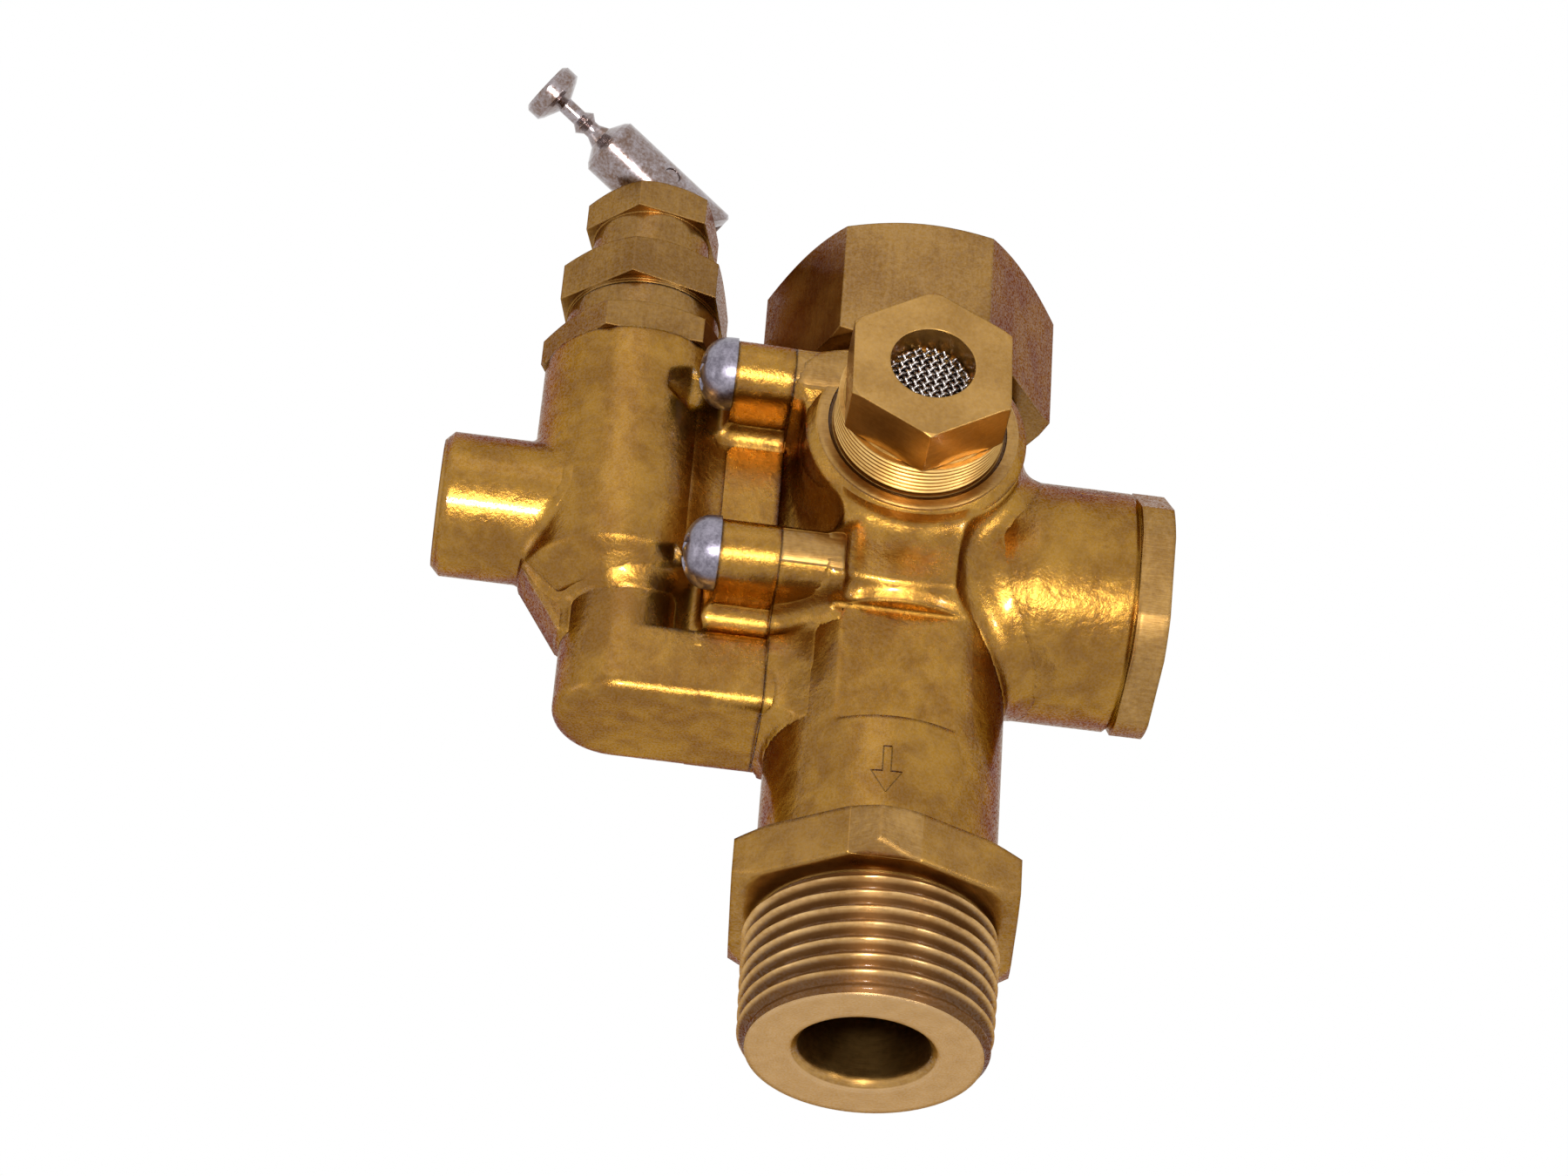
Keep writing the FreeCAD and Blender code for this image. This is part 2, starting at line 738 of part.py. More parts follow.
def bonnet():
    """Hexagonal bonnet that screws into the pilot body and takes the adjusting screw."""
    axis_point = Vector(pilot_x, 0, 0)
    nut = hexagon(bonnet_hex_flats, barrel_top, bonnet_hex_top, bonnet_hex_turn,
                  0.0, bonnet_bevel, steep_bevel_slope)
    collar = rod(bonnet_collar_radius, barrel_top, bonnet_collar_top)
    spigot = rod(pilot_chamber_radius - thread_gap, barrel_top - bonnet_spigot_length,
                 barrel_top)
    shape = nut.multiFuse([collar, spigot])
    shape = shape.cut(rod(screw_bore_radius, barrel_top - bonnet_spigot_length,
                          bonnet_collar_top))
    return placed(shape, axis_point, UP)


def lock_nut():
    """Hexagonal lock nut with a short round collar under it."""
    nut = hexagon(nut_hex_flats, nut_hex_bottom, nut_top, nut_hex_turn,
                  0.0, nut_bevel, steep_bevel_slope)
    nut = nut.fuse(rod(bonnet_collar_radius, nut_bottom, nut_hex_bottom))
    nut = nut.cut(rod(screw_bore_radius, nut_bottom, nut_top))
    return placed(nut, Vector(pilot_x, 0, 0), UP)


def adjusting_screw():
    """Hollow screw that sets the spring, with the stem's seal near its top."""
    head = hexagon(adjuster_hex_flats, adjuster_neck_top, adjuster_top, adjuster_hex_turn,
                   0.0, adjuster_bevel, steep_bevel_slope)
    neck = rod(adjuster_neck_radius, nut_top, adjuster_neck_top)
    shank = rod(screw_bore_radius - thread_gap, adjuster_bottom, nut_top)
    screw = head.multiFuse([neck, shank])
    screw = screw.cut(rod(pilot_stem_radius + pin_gap, adjuster_bottom, adjuster_top))
    pocket = rod(stem_seal_outer, adjuster_bottom,
                 adjuster_bottom + stem_seal_depth + stem_seal_height)
    return placed(screw.cut(pocket), Vector(pilot_x, 0, 0), UP)


def stem_seal():
    """Seal ring around the stem at the end of the adjusting screw's pocket."""
    low = adjuster_bottom + stem_seal_depth
    return ring(pilot_stem_radius + pin_gap, stem_seal_outer, low, low + stem_seal_height,
                Vector(pilot_x, 0, 0))


def upper_spring_seat():
    """Washer between the range spring and the adjusting screw."""
    return ring(pilot_stem_radius + part_gap, spring_seat_radius, upper_seat_bottom,
                adjuster_bottom, Vector(pilot_x, 0, 0))


def lower_spring_seat():
    """Flanged washer that the range spring presses on."""
    return ring(pilot_stem_radius, spring_seat_radius, pilot_poppet_top, spring_seat_top,
                Vector(pilot_x, 0, 0))


def pilot_seat():
    """Small seat insert at the bottom of the pilot chamber."""
    outer = pilot_chamber_radius - thread_gap
    land = pilot_seat_top - seat_nose_height
    body = turned([(0, pilot_chamber_floor), (outer, pilot_chamber_floor), (outer, land),
                   (seat_nose_foot, land), (seat_nose_radius, pilot_seat_top),
                   (0, pilot_seat_top)])
    hole = rod(seat_hole_radius, pilot_chamber_floor, pilot_seat_top)
    return placed(body.cut(hole), Vector(pilot_x, 0, 0), UP)


def pilot_poppet():
    """Soft disc that the spring holds on the pilot seat."""
    return rod(pilot_poppet_radius, pilot_seat_top, pilot_poppet_top, Vector(pilot_x, 0, 0))


def pilot_stem():
    """Rod from the poppet up through the adjusting screw to the lever's pin."""
    stem = rod(pilot_stem_radius, pilot_poppet_top, pin_height)
    across = lever_side()
    round_top = rod(pilot_stem_radius, -pilot_stem_radius, pilot_stem_radius,
                    Vector(0, 0, pin_height), across)
    round_top = round_top.common(rod(pilot_stem_radius, pin_height - eye_reach,
                                     pin_height + eye_reach))
    hole = rod(pin_radius + pin_gap, -eye_reach, eye_reach, Vector(0, 0, pin_height), across)
    return placed(stem.fuse(round_top).cut(hole), Vector(pilot_x, 0, 0), UP)


def lever_side():
    """Direction of the pin, level and square to the lever."""
    angle = math.radians(lever_heading + 90.0)
    return Vector(math.cos(angle), math.sin(angle), 0)


def lever_placement():
    """Frame of the lever: X towards its knob, Y along the pin, Z out of its upper side."""
    heading = math.radians(lever_heading)
    rise = math.radians(lever_rise)
    flat = Vector(math.cos(heading), math.sin(heading), 0)
    along = flat * math.cos(rise) + UP * math.sin(rise)
    side = lever_side()
    rotation = FreeCAD.Rotation(along, side, along.cross(side))
    return FreeCAD.Placement(Vector(pilot_x, 0, pin_height), rotation)


def cam_outline():
    """Cam on the lever's tail, in the lever's own X-Z plane.

    Where the lever has turned by an angle from rest, the height of the pin over the
    screw's face is pin_lift + cam_lift_rate * angle. The side that always touches a
    face at that height is an involute, and cam_gap is taken off it.
    """
    rise = math.radians(lever_rise)
    swing = math.pi / 2 - rise
    points = []
    for step in range(cam_steps + 1):
        angle = swing * step / cam_steps
        reach = pin_lift + cam_lift_rate * angle - cam_gap
        lean = rise + angle
        down = Vector(-math.sin(lean), 0, -math.cos(lean))
        tail = Vector(-math.cos(lean), 0, math.sin(lean))
        points.append(down * reach + tail * cam_lift_rate)
    return points


def toggle_lever():
    """Turned lever with knob, beaded neck and barrel, slotted and cam-cut at its tail."""
    shoulder = lever_barrel_length - lever_tail
    knob = lever_knob_reach - lever_knob_length
    neck = lever_neck_radius
    bead = shoulder + lever_bead_reach
    profile = [(0, -lever_tail), (lever_radius - lever_tail_bevel, -lever_tail),
               (lever_radius, -lever_tail + lever_tail_bevel),
               (lever_radius, shoulder - lever_shoulder_bevel),
               (lever_radius - lever_shoulder_bevel, shoulder),
               (lever_cone_radius, shoulder + lever_cone_length),
               (neck, shoulder + lever_neck_start),
               (neck, bead - lever_bead_half), (lever_bead_radius, bead),
               (neck, bead + lever_bead_half), (neck, knob - lever_bead_half),
               (lever_knob_radius - lever_knob_flare, knob),
               (lever_knob_radius, knob + lever_knob_bevel),
               (lever_knob_radius, lever_knob_reach - lever_knob_bevel),
               (lever_knob_radius - lever_knob_bevel, lever_knob_reach),
               (0, lever_knob_reach)]
    lever = turned(profile, Vector(0, 0, 0), RIGHT)

    # Room under the tail: everything below the flat that rests on the screw and
    # outside the involute is taken away
    curve = cam_outline()
    rise = math.radians(lever_rise)
    down = Vector(-math.sin(rise), 0, -math.cos(rise))
    toward_knob = Vector(math.cos(rise), 0, -math.sin(rise))
    far = 3 * lever_tail
    flat_end = curve[0] + toward_knob * far
    tail_point = Vector(-far, 0, curve[-1].z)
    roll = Part.BSplineCurve()
    roll.interpolate(curve)
    rest = Part.makePolygon([curve[-1], tail_point, tail_point + down * far,
                             flat_end + down * far, flat_end, curve[0]])
    waste = Part.Face(Part.Wire([roll.toShape()] + rest.Edges))
    waste.translate(Vector(0, -2 * lever_radius, 0))
    lever = lever.cut(waste.extrude(Vector(0, 4 * lever_radius, 0)))

    half_slot = pilot_stem_radius + lever_slot_gap
    slot = block((-2 * lever_tail, half_slot), (-half_slot, half_slot),
                 (-2 * lever_radius, half_slot))
    hole = rod(pin_radius, -2 * lever_radius, 2 * lever_radius, Vector(0, 0, 0),
               Vector(0, 1, 0))
    lever = lever.cut(slot).cut(hole)
    lever.Placement = lever_placement()
    return lever


def lever_pin():
    """Pin through the lever's cheeks and the stem's eye."""
    half = lever_radius - pin_end_gap
    pin = rod(pin_radius - press_gap, -half, half, Vector(0, 0, 0), Vector(0, 1, 0))
    pin.Placement = lever_placement().multiply(pin.Placement)
    return pin


def unloader_spring():
    """Spring that lifts the piston when the signal is let go."""
    return spring(unloader_spring_radius, unloader_wire, bush_top, piston_bottom,
                  unloader_turns)


def check_spring():
    """Light spring that holds the check disc up to its seat."""
    return spring(check_spring_radius, check_wire, retainer_top, check_disc_bottom,
                  check_turns)


def range_spring():
    """Strong spring that sets the pressure at which the pilot opens."""
    return spring(range_spring_radius, range_wire, spring_seat_top, upper_seat_bottom,
                  range_turns, Vector(pilot_x, 0, 0))


def export_parts():
    """Write every piece to its own file."""
    os.makedirs("parts", exist_ok=True)
    pieces = [main_body, top_cap, cap_gasket, guide_bush, vent_seat, unloader_piston,
              piston_seal, unloader_stem, unloader_poppet, unloader_spring, check_seat,
              check_disc, check_spring, check_retainer, vent_plug, vent_screen, pilot_body,
              port_seals, pilot_screws, bonnet, lock_nut, adjusting_screw, stem_seal,
              upper_spring_seat, lower_spring_seat, range_spring, pilot_seat, pilot_poppet,
              pilot_stem, toggle_lever, lever_pin]
    for piece in pieces:
        shape = piece()
        if not shape.isValid():
            print("not valid:", piece.__name__)
        shape.exportStep("parts/" + piece.__name__ + ".step")
        print(piece.__name__, "solids", len(shape.Solids), "volume", round(shape.Volume, 2))


export_parts()
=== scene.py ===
import bpy
import math
import numpy as np
from mathutils import Matrix, Vector


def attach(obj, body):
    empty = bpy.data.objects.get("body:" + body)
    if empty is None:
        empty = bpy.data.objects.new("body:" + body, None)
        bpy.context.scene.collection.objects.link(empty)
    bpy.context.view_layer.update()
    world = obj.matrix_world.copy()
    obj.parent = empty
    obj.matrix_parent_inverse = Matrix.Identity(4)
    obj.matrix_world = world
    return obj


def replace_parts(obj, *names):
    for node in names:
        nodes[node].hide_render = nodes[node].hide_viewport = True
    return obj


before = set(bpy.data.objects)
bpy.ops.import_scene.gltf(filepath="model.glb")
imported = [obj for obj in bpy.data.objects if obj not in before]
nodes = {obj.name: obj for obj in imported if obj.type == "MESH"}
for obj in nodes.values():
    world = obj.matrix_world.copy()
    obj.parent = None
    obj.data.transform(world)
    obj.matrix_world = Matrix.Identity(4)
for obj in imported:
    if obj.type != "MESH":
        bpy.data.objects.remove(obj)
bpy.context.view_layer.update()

# Idler control valve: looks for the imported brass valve.
# Metres. Origin at the centre of the outlet's end face, +Z up the main bore,
# -Y out of the vent plug, +X out of the inlet.

mm = 0.001
print("stage: frame loaded,", len(nodes), "nodes")


# Sockets as numbers

class Wire:
    # One socket of a shader node, or a plain number, that can be worked with as a value
    def __init__(self, tree, socket):
        self.tree = tree
        self.socket = socket

    def make(self, kind, settings=None, sockets=None, output=0):
        # Adds any node: its settings first, then the values or links of its sockets
        node = self.tree.nodes.new(kind)
        for key, value in (settings or {}).items():
            if key == "stops":
                setStops(node.color_ramp, value)
            else:
                setattr(node, key, value)
        for key, value in (sockets or {}).items():
            self.plug(value, node.inputs[key])
        return Wire(self.tree, node.outputs[output])

    def plug(self, value, target):
        if isinstance(value, Wire):
            self.tree.links.new(value.socket, target)
        else:
            target.default_value = value

    def maths(self, operation, *values):
        return self.make("ShaderNodeMath", {"operation": operation}, dict(enumerate(values)))

    def __add__(self, other):
        return self.maths("ADD", self, other)

    def __radd__(self, other):
        return self.maths("ADD", other, self)

    def __sub__(self, other):
        return self.maths("SUBTRACT", self, other)

    def __rsub__(self, other):
        return self.maths("SUBTRACT", other, self)

    def __mul__(self, other):
        return self.maths("MULTIPLY", self, other)

    def __rmul__(self, other):
        return self.maths("MULTIPLY", other, self)

    def __truediv__(self, other):
        return self.maths("DIVIDE", self, other)

    def __pow__(self, other):
        return self.maths("POWER", self, other)

    def __neg__(self):
        return self.maths("MULTIPLY", self, -1.0)

    def __abs__(self):
        return self.maths("ABSOLUTE", self)

    def smallest(self, other):
        return self.maths("MINIMUM", self, other)

    def largest(self, other):
        return self.maths("MAXIMUM", self, other)

    def root(self):
        return self.maths("SQRT", self.largest(0.0))

    def sine(self):
        return self.maths("SINE", self)

    def step(self, low, high):
        # 0 below low and 1 above high, smooth between
        return self.make("ShaderNodeMapRange", {"interpolation_type": "SMOOTHSTEP"},
                         {"Value": self, "From Min": low, "From Max": high,
                          "To Min": 0.0, "To Max": 1.0})

    def within(self, low, high, soft):
        # 1 between two limits
        return self.step(low - soft, low + soft) * (1.0 - self.step(high - soft, high + soft))

    def blend(self, first, second):
        # Colour mix with this value as the factor
        return self.make("ShaderNodeMix", {"data_type": "RGBA"},
                         {"Factor": self, 6: first, 7: second}, 2)

    def parts(self):
        split = self.make("ShaderNodeSeparateXYZ", {}, {"Vector": self})
        outputs = split.socket.node.outputs
        return [Wire(self.tree, outputs[i]) for i in range(3)]


def setStops(ramp, stops):
    while len(ramp.elements) < len(stops):
        ramp.elements.new(0.5)
    for element, (place, colour) in zip(ramp.elements, stops):
        element.position = place
        element.color = colour


def rgb(red, green, blue):
    # An sRGB colour as it is seen, 0 to 255, in the linear values that shaders use
    shares = [channel / 255.0 for channel in (red, green, blue)]
    linear = [share / 12.92 if share < 0.04045 else ((share + 0.055) / 1.055) ** 2.4
              for share in shares]
    return (linear[0], linear[1], linear[2], 1.0)


def startMaterial(name):
    # A new material with one metal or plastic shader; gives the tree and that shader
    material = bpy.data.materials.new(name)
    material.use_nodes = True
    tree = material.node_tree
    tree.nodes.clear()
    output = tree.nodes.new("ShaderNodeOutputMaterial")
    shader = tree.nodes.new("ShaderNodeBsdfPrincipled")
    tree.links.new(shader.outputs[0], output.inputs[0])
    kit = Wire(tree, None)
    return material, kit, shader


def objectPlace(kit):
    # Object coordinates in millimetres
    place = kit.make("ShaderNodeTexCoord", {}, {}, 3)
    return place.make("ShaderNodeVectorMath", {"operation": "SCALE"},
                      {0: place, "Scale": 1000.0})


def noise(place, scale, detail=3.0, roughness=0.55, stretch=None, distortion=0.0):
    # Cloud pattern from 0 to 1, scale in waves a millimetre, stretch along x, y, z
    if stretch is not None:
        place = place.make("ShaderNodeMapping", {}, {"Vector": place, "Scale": stretch})
    return place.make("ShaderNodeTexNoise", {},
                      {"Vector": place, "Scale": scale, "Detail": detail,
                       "Roughness": roughness, "Distortion": distortion})


def softEdges(kit, radius):
    # Normal that rounds the edges between faces
    return kit.make("ShaderNodeBevel", {"samples": 6}, {"Radius": radius * mm})


def bump(height, distance, strength, normal=None):
    # Normal that stands up by a height field in millimetres
    sockets = {"Height": height, "Distance": distance * mm, "Strength": strength}
    if normal is not None:
        sockets["Normal"] = normal
    return height.make("ShaderNodeBump", {}, sockets)


# Brass

brass = {
    "forgedLight": rgb(166, 122, 48),
    "forgedDark": rgb(132, 91, 34),
    "forgedStain": rgb(98, 62, 28),
    "machinedLight": rgb(176, 136, 76),
    "machinedDark": rgb(140, 102, 50),
    "tarnish": rgb(112, 74, 38),
    "forgedRoughness": 0.25,
    "machinedRoughness": 0.33,
    "faceLight": rgb(206, 168, 118),
    "faceDark": rgb(176, 138, 90),
    "gapRadius": 9.5,
    "gapHeight": 68.9,
    "edgeTint": rgb(168, 132, 84),
    "gloss": 0.60,
    "glossRoughness": 0.13,
    "grainHeight": 0.07,
    "lineHeight": 0.012,
    "edgeRadius": 0.9,
    "seamX": -13.6,
    "seamFloor": 30.0,
    "seamDepth": 0.06,
    "seamColour": rgb(78, 48, 22),
    "gapDepth": 0.25,
    "gapColour": rgb(60, 34, 16),
    "gapStart": -14.4,
    # Painted shade on the outlet thread's roots and flanks, with a little tarnish in the roots
    "rootShadeColour": rgb(98, 60, 26),
    "arrowFront": -8.0,
    "arrowRise": 0.34,
    "arrowLength": 5.6,
    "arrowHead": 3.0,
    "arrowShaft": 3.6,
    "arrowHalfWidth": 0.44,
    "outletArrow": (-0.8, 29.2),
    "inletArrow": (66.4, 21.6),
}


skin = {
    # scales in waves a millimetre
    "broadScale": 0.11,
    "patchScale": 0.45,
    "fleckScale": 2.6,
    "grainScale": 1.5,
    "glintScale": 4.0,
    "cutBroadScale": 0.16,
    "cutFleckScale": 1.6,
    "cutStainScale": 0.5,
    "tone": (0.36, 0.66),
    "patchStain": (0.60, 0.78),
    "fleckStain": (0.66, 0.80),
    "cutTone": (0.30, 0.72),
    "cutStain": (0.62, 0.80),
    "glint": (0.36, 0.62),
}


def forgedSkin(place):
    # Colour, roughness and relief of the forged, shot-blasted skin: broad clouds and
    # patches give the tone, small flecks the stains, fine grain most of the relief
    broad = noise(place, skin["broadScale"], 3.0, 0.6)
    patch = noise(place, skin["patchScale"], 4.0, 0.6, distortion=0.4)
    fleck = noise(place, skin["fleckScale"], 3.0, 0.7)
    grain = noise(place, skin["grainScale"], 5.0, 0.68)
    tone = (broad * 0.55 + patch * 0.45).step(*skin["tone"])
    stain = patch.step(*skin["patchStain"]) * 0.55 + fleck.step(*skin["fleckStain"]) * 0.35
    colour = stain.blend(tone.blend(brass["forgedDark"], brass["forgedLight"]),
                         brass["forgedStain"])
    rough = brass["forgedRoughness"] + (patch - 0.5) * 0.18 + (fleck - 0.5) * 0.16
    relief = grain * 0.8 + patch * 1.2 + broad * 1.8
    return colour, rough, relief


def machinedSkin(place, lines, colours=None):
    # Paler cut brass with faint turning or milling lines; colours are its dark and light
    broad = noise(place, skin["cutBroadScale"], 2.0, 0.5)
    fleck = noise(place, skin["cutFleckScale"], 3.0, 0.6)
    tone = (broad * 0.6 + fleck * 0.4 + (lines - 0.5) * 0.30).step(*skin["cutTone"])
    dark, light = colours or (brass["machinedDark"], brass["machinedLight"])
    colour = tone.blend(dark, light)
    stain = noise(place, skin["cutStainScale"], 4.0, 0.65).step(*skin["cutStain"]) * 0.45
    colour = stain.blend(colour, brass["tarnish"])
    rough = brass["machinedRoughness"] + (broad - 0.5) * 0.12 + (lines - 0.5) * 0.10
    return colour, rough, lines * 0.9 + fleck * 0.25


def ringLines(first, second, pitch, centreFirst=0.0, centreSecond=0.0):
    # Rings about an axis: sine of the distance from it, from the two coordinates across it
    radius = ((first - centreFirst) ** 2.0 + (second - centreSecond) ** 2.0).root()
    return (radius * (2.0 * math.pi / pitch)).sine() * 0.5 + 0.5


def flowArrow(across, along):
    # Raised arrow: a shaft of one width, then a head whose half-width falls to 0 at its tip
    half, length, soft = brass["arrowHalfWidth"], brass["arrowLength"], 0.1
    shaft = 1.0 - abs(across).step(half - soft, half + soft)
    shaft = shaft * along.within(0.0, brass["arrowShaft"], soft)
    head = 1.0 - (abs(across) + along * 0.62 - length * 0.62).step(-soft, soft)
    return shaft.largest(head * along.within(brass["arrowHead"], length, soft))


def brassMaterial(name, machinedMask, lineField, seam=False, edge=None, root=None,
                  arrows=False, turned=0.0, colours=None):
    # Brass that is forged where the mask is 0 and machined where it is 1, all machined
    # with no mask, and darkened between two radii about the outlet's axis: a little tarnish in
    # the thread's roots, mostly painted shade on its flanks
    material, kit, shader = startMaterial(name)
    place = objectPlace(kit)
    x, y, z = place.parts()
    lines = lineField(place, x, y, z)
    cutColour, cutRough, cutRelief = machinedSkin(place, lines, colours)
    if machinedMask is None:
        colour, rough, relief = cutColour, cutRough, cutRelief * brass["lineHeight"]
    else:
        machined = machinedMask(x, y, z)
        skinColour, skinRough, skinRelief = forgedSkin(place)
        colour = machined.blend(skinColour, cutColour)
        rough = skinRough * (1.0 - machined) + cutRough * machined
        relief = (skinRelief * brass["grainHeight"] * (1.0 - machined)
                  + cutRelief * machined * brass["lineHeight"])
    if seam:
        gap = 1.0 - abs(x - brass["seamX"]).step(0.02, 0.12)
        gap = gap * z.step(brass["seamFloor"], brass["seamFloor"] + 1.0)
        colour = (gap * 0.45).blend(colour, brass["seamColour"])
        relief = relief - gap * brass["seamDepth"]
    # Painted shade: darker towards the thread's root, over the flanks as well as the roots (a
    # little of it tarnish), and rougher there
    if root is not None:
        low = 1.0 - ((x ** 2.0 + y ** 2.0).root()).step(root[0], root[1])
        colour = (low * 0.90).blend(colour, brass["rootShadeColour"])
        rough = rough + low * 0.2
    if arrows:
        pale = 1.0 - z.step(0.15, 0.3)
        face = noise(place, 0.5, 3.0, 0.5).blend(brass["faceDark"], brass["faceLight"])
        colour = pale.blend(colour, face)
        out = (x ** 2.0 + (z - brass["gapHeight"]) ** 2.0).root() - brass["gapRadius"]
        groove = 1.0 - abs(out).step(0.10, 0.22)
        groove = groove * (1.0 - y.step(brass["gapStart"] - 0.2, brass["gapStart"]))
        colour = (groove * 0.9).blend(colour, brass["gapColour"])
        relief = relief - groove * brass["gapDepth"]
        front = 1.0 - y.step(brass["arrowFront"] - 1.0, brass["arrowFront"])
        across, start = brass["outletArrow"]
        mark = flowArrow(x - across, start - z)
        across, start = brass["inletArrow"]
        mark = mark.largest(flowArrow(z - across, start - x)) * front
        relief = relief + mark * brass["arrowRise"]
    kit.plug(colour, shader.inputs["Base Color"])
    kit.plug(rough, shader.inputs["Roughness"])
    shader.inputs["Metallic"].default_value = 1.0
    shader.inputs["Specular Tint"].default_value = brass["edgeTint"]
    glint = noise(place, skin["glintScale"], 2.0, 0.6).step(*skin["glint"])
    kit.plug(glint * brass["gloss"], shader.inputs["Coat Weight"])
    shader.inputs["Coat Roughness"].default_value = brass["glossRoughness"]
    shader.inputs["Anisotropic"].default_value = turned
    shader.inputs["Anisotropic Rotation"].default_value = 0.25
    rounded = softEdges(kit, edge or brass["edgeRadius"])
    kit.plug(bump(relief, 1.0, 1.0, rounded), shader.inputs["Normal"])
    return material


cutFaces = {
    "outletHexStart": 14.2,
    "outletHexEnd": 19.7,
    "hexShare": 0.35,
    "inletHexStart": 25.0,
    "ventFace": -14.95,
    "endFace": 0.2,
    "endPitch": 0.31,
    "pilotTop": 81.35,
    "portStart": -50.1,
    "portEnd": -49.2,
    "portHeight": 61.9,
    "portPitch": 0.5,
}


def mainMask(x, y, z):
    # Cut faces of the main body: outlet end, a little of its hexagon, inlet hexagon, vent face
    hexagon = z.step(cutFaces["outletHexStart"], cutFaces["outletHexStart"] + 0.3)
    above = z.step(cutFaces["outletHexEnd"], cutFaces["outletHexEnd"] + 0.4)
    low = (1.0 - hexagon) + (1.0 - above) * hexagon * cutFaces["hexShare"]
    inlet = x.step(cutFaces["inletHexStart"], cutFaces["inletHexStart"] + 0.2)
    vent = 1.0 - y.step(cutFaces["ventFace"], cutFaces["ventFace"] + 0.2)
    return low.largest(inlet).largest(vent)


def mainLines(place, x, y, z):
    # Rings on the outlet's end face, level milling marks elsewhere
    face = 1.0 - z.step(cutFaces["endFace"], cutFaces["endFace"] + 0.2)
    return (ringLines(x, y, cutFaces["endPitch"]) * face * 0.35
            + noise(place, 1.0, 2.0, 0.5, (0.7, 0.7, 9.0)) * (1.0 - face * 0.35))


def pilotMask(x, y, z):
    # Cut faces of the pilot body: top rim and port end
    top = z.step(cutFaces["pilotTop"], cutFaces["pilotTop"] + 0.2)
    port = 1.0 - x.step(cutFaces["portStart"], cutFaces["portEnd"])
    return top.largest(port)


def pilotLines(place, x, y, z):
    # Rings about the port's axis
    return ringLines(y, z, cutFaces["portPitch"], 0.0, cutFaces["portHeight"])


def streaksUp(place, x, y, z):
    # Drawn bar whose marks run up the part, with a little chatter across
    streaks = noise(place, 1.0, 3.0, 0.6, (2.4, 2.4, 0.10))
    return streaks * 0.8 + noise(place, 2.0, 2.0, 0.5) * 0.2


def turnedUp(place, x, y, z):
    # Turned faces: fine rings round an upright axis
    return noise(place, 1.0, 2.0, 0.5, (0.25, 0.25, 7.0))


def turnedOut(place, x, y, z):
    # Turned faces: fine rings round an axis that points out of the vent
    return noise(place, 1.0, 2.0, 0.5, (0.25, 6.0, 0.25))


materials = {}
materials["mainForged"] = brassMaterial("mainForged", mainMask, mainLines, seam=True,
                                        arrows=True)
materials["pilotForged"] = brassMaterial("pilotForged", pilotMask, pilotLines, seam=True)
materials["barBrass"] = brassMaterial("barBrass", None, streaksUp, edge=0.30,
                                      colours=(rgb(122, 86, 40), rgb(154, 116, 60)))
materials["plugBrass"] = brassMaterial("plugBrass", None, turnedOut, edge=0.25,
                                       colours=(rgb(156, 116, 58), rgb(184, 142, 78)))
materials["turnedBrass"] = brassMaterial("turnedBrass", None, turnedUp, edge=0.20)
# The thread's two radii bound the painted shade on its flanks and roots
materials["threadBrass"] = brassMaterial("threadBrass", None, turnedUp, edge=0.05,
                                         root=(12.65, 13.18), turned=0.8,
                                         colours=(rgb(176, 134, 78), rgb(214, 174, 116)))
# The collar's colours are a lighter copy of the plug's brass: painted light for the flash that
# falls on the collar
materials["collarBrassPaintedLight"] = brassMaterial("collarBrassPaintedLight", None, turnedOut, edge=0.05,
                                         colours=(rgb(190, 146, 76), rgb(224, 184, 112)))
print("stage: brass made")


# Steel, rubber and the small inner pieces

steel = {
    "zincLight": rgb(150, 144, 156),
    "zincDark": rgb(98, 92, 104),
    "leverLight": rgb(168, 160, 164),
    "leverDark": rgb(112, 84, 66),
    "springLight": rgb(168, 168, 170),
    "springDark": rgb(104, 102, 100),
    "screenLight": rgb(190, 186, 184),
    "screenDark": rgb(96, 86, 84),
}


def steelMaterial(name, light, dark, rough, scratch, edge=0.2):
    # Plated or bright steel: clouds for its tone and roughness, fine scratches as relief
    material, kit, shader = startMaterial(name)
    place = objectPlace(kit)
    broad = noise(place, 0.5, 3.0, 0.6)
    fine = noise(place, 3.0, 3.0, 0.6)
    tone = (broad * 0.5 + fine * 0.5).step(0.32, 0.70)
    kit.plug(tone.blend(dark, light), shader.inputs["Base Color"])
    kit.plug(rough + (fine - 0.5) * 0.18 + (broad - 0.5) * 0.10, shader.inputs["Roughness"])
    shader.inputs["Metallic"].default_value = 1.0
    kit.plug(bump(fine, 0.02, scratch, softEdges(kit, edge)), shader.inputs["Normal"])
    shader.inputs["Coat Weight"].default_value = 0.5
    shader.inputs["Coat Roughness"].default_value = 0.12
    return material


def softMaterial(name, light, dark, rough, scale, height):
    # Rubber, plastic or fibre: no metal, a fine cloud for tone, roughness and relief
    material, kit, shader = startMaterial(name)
    place = objectPlace(kit)
    broad = noise(place, scale * 0.3, 2.0, 0.5)
    fine = noise(place, scale, 4.0, 0.6)
    tone = (broad * 0.4 + fine * 0.6).step(0.3, 0.7)
    kit.plug(tone.blend(dark, light), shader.inputs["Base Color"])
    kit.plug(rough + (fine - 0.5) * 0.2, shader.inputs["Roughness"])
    kit.plug(bump(fine, height, 0.6, softEdges(kit, 0.12)), shader.inputs["Normal"])
    return material


